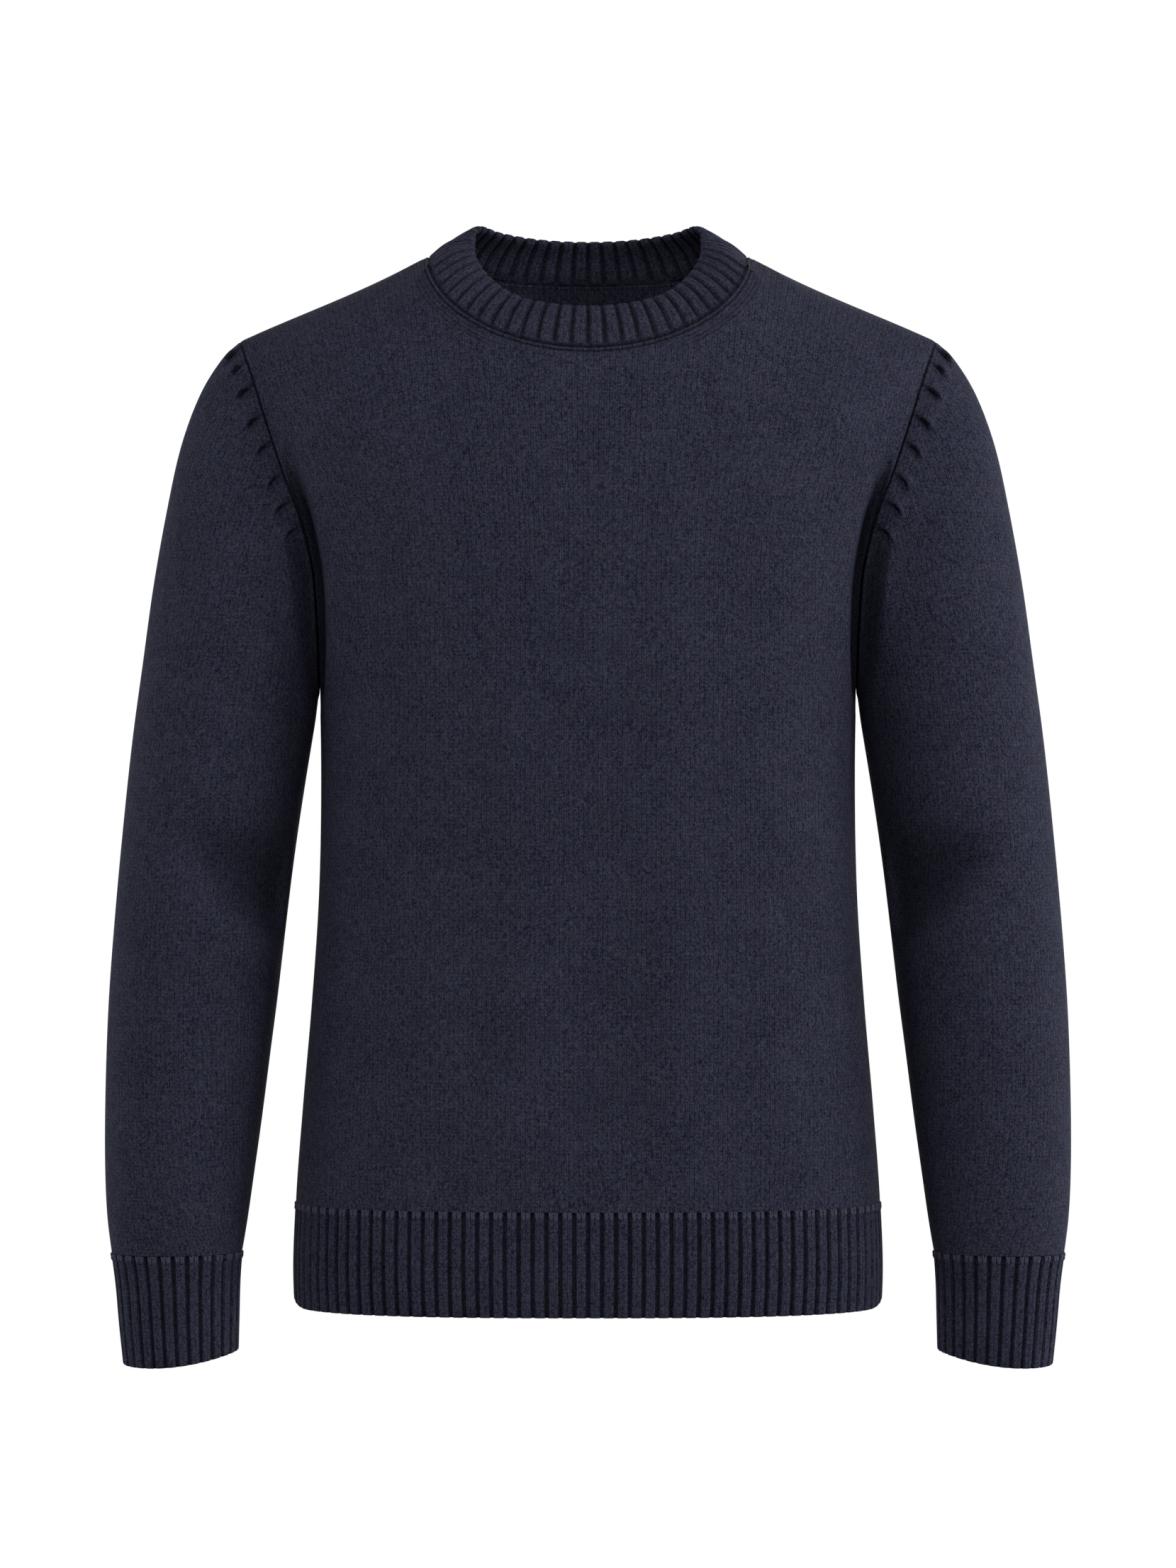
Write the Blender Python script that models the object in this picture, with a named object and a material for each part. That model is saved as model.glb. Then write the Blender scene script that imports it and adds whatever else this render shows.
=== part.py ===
"""A crew-neck knitted pullover, filled out and hollow, built as thin cloth walls.

Metres, +Z up. The front faces -Y and the wearer's left side is at +X. The origin is on
the middle plane, level with the two high points of the shoulders beside the neck.

Each panel, rib and band is a closed wall of its own. The walls follow one body form:
horizontal sections up to the chest line, and above it a dome that closes on the
shoulder line. The sleeves run through tilted rings from the armhole to the cuff.
"""

import math

import bmesh
import bpy
import numpy as np

# Cloth
WALL = 0.0025          # thickness of the plain knit
GAP = 0.0003           # room left between two pieces at a seam
RIB_RISE = 0.0016      # crest of a rib above its valley
RIB_WALL = 0.0017      # thickness left under a rib's valley
VALLEY_HALF = 0.17     # half width of a valley, as a share of one rib

# Heights
CHEST_Z = -0.200       # level where the armhole is deepest
UNDERARM_Z = -0.280
WELT_Z = -0.605        # seam between a panel and its hem rib
HEM_MIDDLE_Z = -0.650
HEM_Z = -0.6715

# Shoulder and neck
TIP_X = 0.223          # outer end of the shoulder line
TIP_Z = -0.055
SHOULDER_SAG = 0.015   # how far the shoulder line hollows beside the neck
RIDGE_Y = 0.006        # the shoulder line lies a little behind the middle
DOME_POWER = 2.3       # 2 would be a round dome, more is squarer
NECK_HALF_WIDTH = 0.1015
NECK_DROP = {"front": 0.0665, "back": 0.010}

# Armhole, half its depth from front to back at the chest line
ARMHOLE_HALF_DEPTH = 0.058

# Neckband
BAND_THICKNESS = 0.0050
BAND_RIBS = 60
BAND_BULGE = 0.0030
FOLD_HALF_WIDTH = 0.0735
FOLD_HALF_DEPTH = 0.0775
FOLD_MIDDLE_Y = -0.0125
FOLD_LEAD = 0.05       # turns the ribs towards the middle of the front and the back

# Ribs on each half of the hem and round each cuff
HEM_RIBS_PER_HALF = 58
CUFF_RIBS = 28

# Mesh density: faces along each stretch
BODY_ROWS = 7
UNDERARM_ROWS = 4
DOME_ROWS = 7
SHOULDER_COLUMNS = 5
NECK_COLUMNS = 20
FAN_POWER = 2.5        # how late the columns turn towards the neckline
DENSE = 240            # points on a curve before it is cut into equal lengths
HALVINGS = 40          # steps of the search for the neckline
SHARP_DEGREES = 50     # edges sharper than this stay sharp in the shading

BODY_COLUMNS = ("z", "half_width", "front", "back", "power")
BODY = np.array((
    (-0.6715, 0.1880, 0.1080, 0.1030, 2.7),
    (-0.6550, 0.1884, 0.1100, 0.1050, 2.7),
    (-0.6050, 0.1868, 0.1115, 0.1060, 2.7),
    (-0.5450, 0.1824, 0.1120, 0.1055, 2.6),
    (-0.4800, 0.1768, 0.1130, 0.1040, 2.6),
    (-0.4100, 0.1722, 0.1155, 0.1030, 2.5),
    (-0.3450, 0.1708, 0.1190, 0.1060, 2.5),
    (-0.2800, 0.1717, 0.1225, 0.1120, 2.5),
    (-0.2000, 0.1765, 0.1240, 0.1170, 2.5),
))

# Armhole seam seen from the front
ARMHOLE_COLUMNS = ("z", "x")
ARMHOLE = np.array((
    (-0.280, 0.1717),
    (-0.240, 0.1725),
    (-0.200, 0.1755),
    (-0.170, 0.1825),
    (-0.138, 0.1942),
    (-0.106, 0.2050),
    (-0.080, 0.2135),
    (-0.055, 0.2230),
))

# Rings of a sleeve. "ring" counts from the armhole, "round" is how far the ring has
# changed from the armhole's own shape to an oval.
SLEEVE_RINGS = ("ring", "outer_x", "outer_z", "inner_x", "inner_z",
                "half_depth", "middle_y", "round")
SLEEVE = np.array((
    (0, 0.2230, -0.0550, 0.1717, -0.2800, 0.0580, 0.000, 0.00),
    (1, 0.2350, -0.0668, 0.1729, -0.2840, 0.0600, 0.000, 0.25),
    (2, 0.2490, -0.0900, 0.1737, -0.2895, 0.0612, 0.000, 0.50),
    (3, 0.2610, -0.1235, 0.1750, -0.3000, 0.0620, -0.001, 0.75),
    (4, 0.2700, -0.1650, 0.1776, -0.3160, 0.0625, -0.001, 0.92),
    (5, 0.2783, -0.2120, 0.1815, -0.3400, 0.0622, -0.001, 1.00),
    (6, 0.2850, -0.2610, 0.1860, -0.3700, 0.0618, -0.002, 1.00),
    (7, 0.2918, -0.3120, 0.1900, -0.4000, 0.0610, -0.003, 1.00),
    (8, 0.2980, -0.3720, 0.1942, -0.4360, 0.0596, -0.005, 1.00),
    (9, 0.3030, -0.4300, 0.1986, -0.4750, 0.0578, -0.008, 1.00),
    (10, 0.3063, -0.4800, 0.2030, -0.5100, 0.0556, -0.011, 1.00),
    (11, 0.3078, -0.5300, 0.2082, -0.5520, 0.0525, -0.015, 1.00),
    (12, 0.3078, -0.5760, 0.2130, -0.5880, 0.0487, -0.020, 1.00),
    (13, 0.3062, -0.6110, 0.2168, -0.6160, 0.0440, -0.024, 1.00),
    (14, 0.3030, -0.6370, 0.2200, -0.6360, 0.0385, -0.0265, 1.00),
))

CUFF_RINGS = ("ring", "outer_x", "outer_z", "inner_x", "inner_z", "half_depth", "middle_y")
CUFF = np.array((
    (0, 0.3030, -0.6370, 0.2200, -0.6360, 0.0385, -0.0265),
    (1, 0.3002, -0.6580, 0.2212, -0.6550, 0.0345, -0.0280),
    (2, 0.2980, -0.6820, 0.2217, -0.6770, 0.0330, -0.0292),
    (3, 0.2952, -0.7080, 0.2222, -0.6990, 0.0320, -0.0300),
))

# Cross-section of the neckband: height up the band, depth through it, share of a rib's rise
BAND_PROFILE = (
    (0.00, 0.00, 0.7),
    (0.30, 0.00, 1.0),
    (0.66, 0.00, 1.0),
    (0.90, 0.05, 1.0),
    (1.00, 0.50, 0.8),
    (0.90, 0.95, 0.8),
    (0.45, 1.00, 0.8),
    (0.04, 1.00, 0.4),
)

# Height of the neckband's fold, from the middle of the front (-1) to that of the back (1)
FOLD_COLUMNS = ("share", "z")
FOLD = np.array((
    (-1.00, -0.0392),
    (-0.80, -0.0312),
    (-0.50, -0.0152),
    (-0.20, 0.0010),
    (0.05, 0.0140),
    (0.30, 0.0210),
    (0.65, 0.0192),
    (1.00, 0.0156),
))

NAVY = (0.019, 0.021, 0.034, 1.0)
KNIT_ROUGHNESS = 0.9

FRONT = -1.0
BACK = 1.0


def read_table(table, columns, name, at):
    """Read one column of a table along a smooth curve through its rows."""
    x = table[:, 0]
    y = table[:, columns.index(name)]
    slope = np.gradient(y, x)
    at = np.asarray(at, dtype=float)
    k = np.clip(np.searchsorted(x, at) - 1, 0, len(x) - 2)
    step = x[k + 1] - x[k]
    t = (at - x[k]) / step
    start = (2 * t ** 3 - 3 * t ** 2 + 1) * y[k] + (t ** 3 - 2 * t ** 2 + t) * step * slope[k]
    end = (3 * t ** 2 - 2 * t ** 3) * y[k + 1] + (t ** 3 - t ** 2) * step * slope[k + 1]
    return start + end


def unit(vectors):
    """Vectors of length 1."""
    return vectors / np.linalg.norm(vectors, axis=-1, keepdims=True)


def equal_lengths(points, shares):
    """Points at the given shares of a curve's length."""
    steps = np.linalg.norm(np.diff(points, axis=0), axis=1)
    length = np.concatenate(([0.0], np.cumsum(steps)))
    at = np.asarray(shares) * length[-1]
    return np.stack([np.interp(at, length, points[:, k]) for k in range(3)], axis=1)


def body_value(name, z):
    return read_table(BODY, BODY_COLUMNS, name, z)


def armhole_x(z):
    return read_table(ARMHOLE, ARMHOLE_COLUMNS, "x", z)


def armhole_low_depth(z):
    """Depth of the armhole's lower quarter, zero at the underarm."""
    drop = (CHEST_Z - z) / (CHEST_Z - UNDERARM_Z)
    return ARMHOLE_HALF_DEPTH * math.sqrt(max(0.0, 1.0 - drop ** 2))


def section(side, z, shares):
    """One horizontal section of a panel, from -X to +X, at shares -1 to 1 of its length."""
    depth = float(body_value("front" if side == FRONT else "back", z))
    power = float(body_value("power", z))
    edge_x = float(body_value("half_width", z))
    edge_y = 0.0
    if z > UNDERARM_Z:
        edge_x = float(armhole_x(z))
        edge_y = armhole_low_depth(z)
    last = math.acos(min(1.0, (edge_y / depth) ** (power / 2)))
    reach = edge_x / math.sin(last) ** (2 / power)
    turn = np.linspace(0.0, last, DENSE)
    x = reach * np.sin(turn) ** (2 / power)
    y = depth * np.clip(np.cos(turn), 0.0, 1.0) ** (2 / power)
    y[-1] = edge_y
    half = np.stack([x, side * y, np.full(DENSE, z)], axis=1)
    shares = np.asarray(shares)
    points = equal_lengths(half, np.abs(shares))
    points[:, 0] *= np.where(shares < 0, -1.0, 1.0)
    return points


def shoulder_height(x):
    """Height of the shoulder line, which runs on over the neck to close the dome."""
    x = np.abs(x)
    run = np.clip((x - NECK_HALF_WIDTH) / (TIP_X - NECK_HALF_WIDTH), 0.0, 1.0)
    slope = (TIP_Z - SHOULDER_SAG) / (TIP_X - NECK_HALF_WIDTH)
    crown = -slope * NECK_HALF_WIDTH / 2
    inside = crown * (1 - np.minimum(1.0, x / NECK_HALF_WIDTH) ** 2)
    return inside + TIP_Z * run - SHOULDER_SAG * run * (1 - run) ** 2


def dome(base, turn):
    """A point above the chest line: base is its column there, turn goes from 0 to 90 degrees."""
    lift = math.sin(turn) ** (2 / DOME_POWER)
    keep = max(0.0, math.cos(turn)) ** (2 / DOME_POWER)
    if turn >= math.pi / 2:
        keep = 0.0
    widen = float(armhole_x(CHEST_Z + (TIP_Z - CHEST_Z) * lift) / armhole_x(CHEST_Z))
    top_x = base[0] * float(armhole_x(TIP_Z) / armhole_x(CHEST_Z))
    top = float(shoulder_height(top_x))
    return np.array((
        base[0] * widen,
        base[1] * keep + RIDGE_Y * (1 - keep),
        CHEST_Z + (top - CHEST_Z) * lift,
    ))


def neckline_height(side, x):
    drop = NECK_DROP["front" if side == FRONT else "back"]
    return -drop * math.sqrt(max(0.0, 1 - (x / NECK_HALF_WIDTH) ** 2))


def last_turn(side, base):
    """Turn at which a column of the dome ends: at the neckline or on the shoulder line."""
    full = math.pi / 2
    end = dome(base, full)
    if abs(end[0]) >= NECK_HALF_WIDTH or end[2] <= neckline_height(side, end[0]):
        return full
    low, high = 0.0, full
    for _ in range(HALVINGS):
        middle = (low + high) / 2
        point = dome(base, middle)
        if point[2] < neckline_height(side, point[0]):
            low = middle
        else:
            high = middle
    return low


def neck_share(side):
    """Share of the chest section whose column ends at the high point beside the neck."""
    shares = np.linspace(0.0, 1.0, DENSE)
    top_x = section(side, CHEST_Z, shares)[:, 0] * float(armhole_x(TIP_Z) / armhole_x(CHEST_Z))
    return float(np.interp(NECK_HALF_WIDTH, top_x, shares))


def top_shares(side):
    """Shares at which the columns end, evenly along the neckline and the shoulder lines."""
    corner = neck_share(side)
    dense = corner * np.sin(np.linspace(-math.pi / 2, math.pi / 2, DENSE))
    bases = section(side, CHEST_Z, dense)
    line = np.array([dome(base, last_turn(side, base)) for base in bases])
    steps = np.linalg.norm(np.diff(line, axis=0), axis=1)
    length = np.concatenate(([0.0], np.cumsum(steps))) / steps.sum()
    neck = np.interp(np.linspace(0.0, 1.0, NECK_COLUMNS + 1), length, dense)
    outer = np.linspace(corner, 1.0, SHOULDER_COLUMNS + 1)[1:]
    return np.concatenate((-outer[::-1], neck, outer))


def panel_points(side):
    """Outer points of a panel, one row after another from the welt seam to the top."""
    top = top_shares(side)
    low = np.linspace(-1.0, 1.0, len(top))
    rows = [section(side, z, low) for z in np.linspace(WELT_Z, UNDERARM_Z, BODY_ROWS + 1)]
    for angle in np.linspace(0.0, math.pi / 2, UNDERARM_ROWS + 1)[1:]:
        z = CHEST_Z + (UNDERARM_Z - CHEST_Z) * math.cos(angle)
        rows.append(section(side, z, low))
    ends = [last_turn(side, base) for base in section(side, CHEST_Z, top)]
    for step in np.linspace(0.0, 1.0, DOME_ROWS + 1)[1:]:
        shares = low + (top - low) * step ** FAN_POWER
        bases = section(side, CHEST_Z, shares)
        rows.append(np.array([dome(base, end * step) for base, end in zip(bases, ends)]))
    return np.array(rows)


PANEL = {side: panel_points(side) for side in (FRONT, BACK)}
NECK = slice(SHOULDER_COLUMNS, SHOULDER_COLUMNS + NECK_COLUMNS + 1)


def armhole_axis():
    """Direction from the body into the sleeve, square to the armhole."""
    along = np.array((TIP_X - ARMHOLE[0, 1], 0.0, TIP_Z - UNDERARM_Z))
    return unit(np.array((along[2], 0.0, -along[0])))


def neck_point(angle):
    """Neck seam at an angle: 0 at the +X shoulder, 90 degrees at the middle of the front."""
    line = PANEL[FRONT if math.sin(angle) >= 0 else BACK][-1, NECK]
    x = NECK_HALF_WIDTH * math.cos(angle)
    return np.array([np.interp(x, line[:, 0], line[:, k]) for k in range(3)])


def fold_point(angle):
    """Top edge of the neckband at an angle. It is low in front and highest behind the sides."""
    angle = angle - FOLD_LEAD * math.sin(2 * angle)
    back = -math.sin(angle)
    return np.array((
        FOLD_HALF_WIDTH * math.cos(angle),
        FOLD_MIDDLE_Y + FOLD_HALF_DEPTH * back,
        float(read_table(FOLD, FOLD_COLUMNS, "z", back)),
    ))


def band_frame(angle):
    """Seam point, way up the band and outward direction at an angle."""
    step = 0.01
    foot = neck_point(angle)
    up = fold_point(angle) - foot
    along = neck_point(angle + step) - neck_point(angle - step)
    along += fold_point(angle + step) - fold_point(angle - step)
    return foot, up, unit(np.cross(up, along))


def seam_frames(points):
    """Way up the neckband and its outward direction at points of the neck seam."""
    ups = []
    outs = []
    for x, y, _z in points:
        angle = math.acos(max(-1.0, min(1.0, x / NECK_HALF_WIDTH)))
        _foot, up, out = band_frame(angle if y < RIDGE_Y else -angle)
        ups.append(up)
        outs.append(out)
    return unit(np.array(ups)), np.array(outs)


def grid_normals(points):
    """Directions square to an open grid of points."""
    across = np.gradient(points, axis=1)
    up = np.gradient(points, axis=0)
    return unit(np.cross(across, up))


def ring_normals(points):
    """Outward directions of a tube, whose rings run from outside round by the front."""
    across = np.roll(points, -1, axis=1) - np.roll(points, 1, axis=1)
    up = np.gradient(points, axis=0)
    return unit(np.cross(up, across))


def level_at_tip(points, normals, axis):
    """Turn an armhole's directions square to its axis towards the shoulder tip.

    A panel and a sleeve meet in a ridge there, and share the direction of their walls.
    """
    rise = np.clip((points[:, 2] - CHEST_Z) / (TIP_Z - CHEST_Z), 0.0, 1.0)[:, None]
    level = unit(normals - (normals @ axis)[:, None] * axis)
    return unit(normals * (1 - rise) + level * rise)


def flatten(normals, axis):
    """Take one axis out of directions, so that two pieces share them at a seam."""
    normals[..., axis] = 0.0
    return unit(normals)


def new_object(name, mesh_data, material):
    mesh = bpy.data.meshes.new(name)
    mesh_data.to_mesh(mesh)
    mesh_data.free()
    mesh.materials.append(material)
    mesh.shade_smooth()
    mesh.set_sharp_from_angle(angle=math.radians(SHARP_DEGREES))
    item = bpy.data.objects.new(name, mesh)
    bpy.context.collection.objects.link(item)
    return item


def add_rows(mesh, rows):
    return [[mesh.verts.new(point) for point in row] for row in rows]


def join_rows(mesh, low, high, closed, flip):
    """Quads between two rows with equal numbers of points."""
    count = len(low)
    for k in range(count if closed else count - 1):
        following = (k + 1) % count
        corners = [low[k], low[following], high[following], high[k]]
        mesh.faces.new(corners[::-1] if flip else corners)


def close_rim(mesh, outer, inner, closed, per, flip):
    """Faces between an outer row and an inner row that has one point to every `per`."""
    count = len(inner)
    for k in range(count if closed else count - 1):
        stretch = [outer[(k * per + j) % len(outer)] for j in range(per + 1)]
        corners = [inner[k]] + stretch + [inner[(k + 1) % count]]
        mesh.faces.new(corners[::-1] if flip else corners)


def wall(name, outer, inner, closed, material, per=1):
    """A closed wall between a grid of outer points and a grid of inner points."""
    mesh = bmesh.new()
    out_rows = add_rows(mesh, outer)
    in_rows = add_rows(mesh, inner)
    for low, high in zip(out_rows, out_rows[1:]):
        join_rows(mesh, low, high, closed, flip=False)
    for low, high in zip(in_rows, in_rows[1:]):
        join_rows(mesh, low, high, closed, flip=True)
    close_rim(mesh, out_rows[0], in_rows[0], closed, per, flip=True)
    close_rim(mesh, out_rows[-1], in_rows[-1], closed, per, flip=False)
    if not closed:
        first_out = [row[0] for row in out_rows]
        first_in = [row[0] for row in in_rows]
        last_out = [row[-1] for row in out_rows]
        last_in = [row[-1] for row in in_rows]
        close_rim(mesh, first_out, first_in, False, 1, flip=False)
        close_rim(mesh, last_out, last_in, False, 1, flip=True)
    bmesh.ops.recalc_face_normals(mesh, faces=mesh.faces)
    return new_object(name, mesh, material)


def panel(name, side, material):
    """Front or back panel: side seams, armholes, shoulder seams and neckline."""
    points = PANEL[side].copy()
    normals = grid_normals(points) * -side
    body_end = BODY_ROWS + 1
    for column, sign in ((0, -1.0), (-1, 1.0)):
        axis = armhole_axis() * (sign, 1.0, 1.0)
        normals[:body_end, column] = flatten(normals[:body_end, column], 1)
        edge = slice(body_end, None)
        normals[edge, column] = level_at_tip(points[edge, column], normals[edge, column], axis)
        points[:body_end, column, 1] += side * GAP / 2
        points[body_end - 1:, column] -= axis * GAP / 2
    normals[0] = flatten(normals[0], 2)
    normals[-1] = flatten(normals[-1], 1)
    up, normals[-1, NECK] = seam_frames(points[-1, NECK])
    points[0, :, 2] += GAP / 2
    points[-1, :, 1] += side * GAP / 2
    points[-1, NECK] -= up * GAP / 2
    return wall(name, points, points - normals * WALL, False, material)


def rib_columns(ribs):
    """Places of the points of a run of ribs, and whether each is on a crest."""
    places = []
    crest = []
    for rib in range(ribs):
        places += [rib, rib + VALLEY_HALF, rib + 1 - VALLEY_HALF]
        crest += [0.0, 1.0, 1.0]
    return np.array(places) / ribs, np.array(crest)


def hem_rib(name, side, material):
    """Half of the ribbed hem, with vertical ribs over a plain inside."""
    places, crest = rib_columns(HEM_RIBS_PER_HALF)
    places = np.append(places, 1.0)
    crest = np.append(crest, 0.0)
    heights = (HEM_Z, HEM_MIDDLE_Z, WELT_Z)
    points = np.array([section(side, z, 2 * places - 1) for z in heights])
    normals = grid_normals(points) * -side
    normals[:, 0] = flatten(normals[:, 0], 1)
    normals[:, -1] = flatten(normals[:, -1], 1)
    normals[-1] = flatten(normals[-1], 2)
    points[:, 0, 1] += side * GAP / 2
    points[:, -1, 1] += side * GAP / 2
    points[-1, :, 2] -= GAP / 2
    outer = points + normals * (crest * RIB_RISE - (WALL - RIB_WALL))[None, :, None]
    inner = (points - normals * WALL)[:, ::3]
    return wall(name, outer, inner, False, material, per=3)


def ring_points(table, columns, row, angles, seam=None):
    """One ring of a sleeve or cuff at +X: angle 0 outside, 90 degrees at the front."""
    value = {name: float(read_table(table, columns, name, row)) for name in columns}
    outer = np.array((value["outer_x"], 0.0, value["outer_z"]))
    inner = np.array((value["inner_x"], 0.0, value["inner_z"]))
    middle = (outer + inner) / 2
    half = (outer - inner) / 2
    shape = np.stack([np.cos(angles), -np.sin(angles), np.zeros(len(angles))])
    if seam is not None:
        shape = shape * value["round"] + seam * (1 - value["round"])
    along, depth, bow = shape
    points = middle + along[:, None] * half + bow[:, None] * square_to(half)
    points[:, 1] = value["middle_y"] + depth * value["half_depth"]
    return points


def square_to(half):
    """Direction in the XZ plane square to a ring's long axis, towards the sleeve."""
    return unit(np.array((half[2], 0.0, -half[0])))


def armhole_shape():
    """The armhole seam in a ring's own terms: along it, its depth and its bow."""
    front = PANEL[FRONT][BODY_ROWS:, -1][::-1]
    back = PANEL[BACK][BODY_ROWS:, -1][1:-1]
    loop = np.concatenate((front, back))
    half = (front[0] - front[-1]) * (0.5, 0.0, 0.5)
    middle = (front[0] + front[-1]) * (0.5, 0.0, 0.5)
    offset = loop - middle
    return np.stack([
        offset @ half / (half @ half),
        loop[:, 1] / ARMHOLE_HALF_DEPTH,
        offset @ square_to(half),
    ])


def sleeve(name, sign, material):
    """A sleeve from the armhole to the cuff seam, mirrored for the other side."""
    seam = armhole_shape()
    angles = np.linspace(0.0, 2 * math.pi, seam.shape[1], endpoint=False)
    rows = SLEEVE[::-1, 0]
    points = np.array([ring_points(SLEEVE, SLEEVE_RINGS, row, angles, seam) for row in rows])
    normals = ring_normals(points)
    axis = armhole_axis()
    normals[-1] = level_at_tip(points[-1], normals[-1], axis)
    normals[0] = flatten(normals[0], 2)
    points[-1] += axis * GAP / 2
    points[0, :, 2] += GAP / 2
    outer = points * (sign, 1.0, 1.0)
    inner = (points - normals * WALL) * (sign, 1.0, 1.0)
    return wall(name, outer, inner, True, material)


def cuff(name, sign, material):
    """A ribbed cuff below the sleeve."""
    places, crest = rib_columns(CUFF_RIBS)
    dense = np.linspace(0.0, 2 * math.pi, DENSE + 1)
    rings = [ring_points(CUFF, CUFF_RINGS, row, dense) for row in CUFF[::-1, 0]]
    points = np.array([equal_lengths(ring, places) for ring in rings])
    normals = ring_normals(points)
    normals[-1] = flatten(normals[-1], 2)
    points[-1, :, 2] -= GAP / 2
    outer = points + normals * (crest * RIB_RISE - (WALL - RIB_WALL))[None, :, None]
    inner = (points - normals * WALL)[:, ::3]
    flip = (sign, 1.0, 1.0)
    return wall(name, outer * flip, inner * flip, True, material, per=3)


def band_angles():
    """Angles of the neckband's points, with the ribs evenly spaced round its middle."""
    places, crest = rib_columns(BAND_RIBS)
    dense = np.linspace(math.pi / 2, 5 * math.pi / 2, DENSE * 4)
    middle = np.array([(neck_point(a) + fold_point(a)) / 2 for a in dense])
    steps = np.linalg.norm(np.diff(middle, axis=0), axis=1)
    length = np.concatenate(([0.0], np.cumsum(steps))) / steps.sum()
    return np.interp(places, length, dense), crest


def neckband(name, material):
    """A folded band round the neck seam, ribbed outside and inside."""
    angles, crest = band_angles()
    frames = [band_frame(angle) for angle in angles]
    rows = []
    for height, depth, rise in BAND_PROFILE:
        row = []
        for (foot, up, out), top in zip(frames, crest):
            bulge = BAND_BULGE * math.sin(math.pi * height)
            proud = rise * RIB_RISE * (top - 0.5)
            facing = 1 - 2 * depth
            lift = GAP / 2 * (1 - height)
            tall = np.linalg.norm(up)
            grown = height + proud * (1 - abs(facing)) / tall
            point = foot + up * (grown + lift / tall)
            row.append(point + out * (bulge - depth * BAND_THICKNESS + proud * facing))
        rows.append(row)
    mesh = bmesh.new()
    made = add_rows(mesh, rows)
    for low, high in zip(made, made[1:] + made[:1]):
        join_rows(mesh, low, high, closed=True, flip=False)
    bmesh.ops.recalc_face_normals(mesh, faces=mesh.faces)
    return new_object(name, mesh, material)


def knit_material(name):
    """Plain navy knit."""
    material = bpy.data.materials.new(name)
    material.use_nodes = True
    shader = material.node_tree.nodes["Principled BSDF"]
    shader.inputs["Base Color"].default_value = NAVY
    shader.inputs["Roughness"].default_value = KNIT_ROUGHNESS
    shader.inputs["Metallic"].default_value = 0.0
    material.diffuse_color = NAVY
    return material


def main():
    for item in list(bpy.data.objects):
        bpy.data.objects.remove(item, do_unlink=True)
    panel("front", FRONT, knit_material("front_knit"))
    panel("back", BACK, knit_material("back_knit"))
    hem_rib("hem_rib_front", FRONT, knit_material("hem_rib_front_knit"))
    hem_rib("hem_rib_back", BACK, knit_material("hem_rib_back_knit"))
    for label, sign in (("left", 1.0), ("right", -1.0)):
        sleeve("sleeve_" + label, sign, knit_material("sleeve_" + label + "_knit"))
        cuff("cuff_" + label, sign, knit_material("cuff_" + label + "_knit"))
    neckband("neckband", knit_material("neckband_knit"))


main()
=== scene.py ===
import math
from itertools import product

import bmesh
import bpy
import numpy as np
from mathutils import Matrix, Vector
from mathutils.kdtree import KDTree


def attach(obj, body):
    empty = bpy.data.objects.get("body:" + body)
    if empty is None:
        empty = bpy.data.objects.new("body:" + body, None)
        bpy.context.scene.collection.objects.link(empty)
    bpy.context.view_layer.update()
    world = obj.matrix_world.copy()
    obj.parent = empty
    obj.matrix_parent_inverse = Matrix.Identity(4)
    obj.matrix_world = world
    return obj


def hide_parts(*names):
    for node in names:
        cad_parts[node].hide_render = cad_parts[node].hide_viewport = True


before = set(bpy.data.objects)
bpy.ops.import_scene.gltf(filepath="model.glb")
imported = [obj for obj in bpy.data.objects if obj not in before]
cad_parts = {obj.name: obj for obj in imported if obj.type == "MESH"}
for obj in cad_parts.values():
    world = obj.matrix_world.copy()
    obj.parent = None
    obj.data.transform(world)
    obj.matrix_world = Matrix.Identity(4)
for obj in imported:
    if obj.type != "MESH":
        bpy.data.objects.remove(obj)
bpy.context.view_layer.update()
print("frame loaded:", len(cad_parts), "solids")

front = -1.0
back = 1.0

# sizes shared by every knitted piece, in metres
cloth = {"wall": 0.0025, "gap": 0.0003, "waleWidth": 0.003, "courseHeight": 0.0022}

# the body's horizontal sections and the lines that bound its panels
bodyForm = {
    "columns": ("z", "halfWidth", "front", "back", "power"),
    "rows": (
        (-0.6715, 0.188, 0.108, 0.103, 2.7),
        (-0.655, 0.1884, 0.11, 0.105, 2.7),
        (-0.605, 0.1868, 0.1115, 0.106, 2.7),
        (-0.545, 0.1824, 0.112, 0.1055, 2.6),
        (-0.48, 0.1768, 0.113, 0.104, 2.6),
        (-0.41, 0.1722, 0.1155, 0.103, 2.5),
        (-0.345, 0.1708, 0.119, 0.106, 2.5),
        (-0.28, 0.1717, 0.1225, 0.112, 2.5),
        (-0.2, 0.1765, 0.124, 0.117, 2.5),
    ),
    "chestZ": -0.2, "underarmZ": -0.28, "weltZ": -0.605, "hemZ": -0.6715,
    "tipX": 0.223, "tipZ": -0.055, "shoulderSag": 0.015, "ridgeY": 0.006, "domePower": 2.3,
    "neckHalfWidth": 0.1015, "neckDropFront": 0.0665, "neckDropBack": 0.01,
    "armholeHalfDepth": 0.058, "dense": 500, "halvings": 40,
}
armholeLine = {
    "columns": ("z", "x"),
    "rows": (
        (-0.28, 0.1717),
        (-0.24, 0.1725),
        (-0.2, 0.1755),
        (-0.17, 0.1825),
        (-0.138, 0.1942),
        (-0.106, 0.205),
        (-0.08, 0.2135),
        (-0.055, 0.223),
    ),
}


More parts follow.
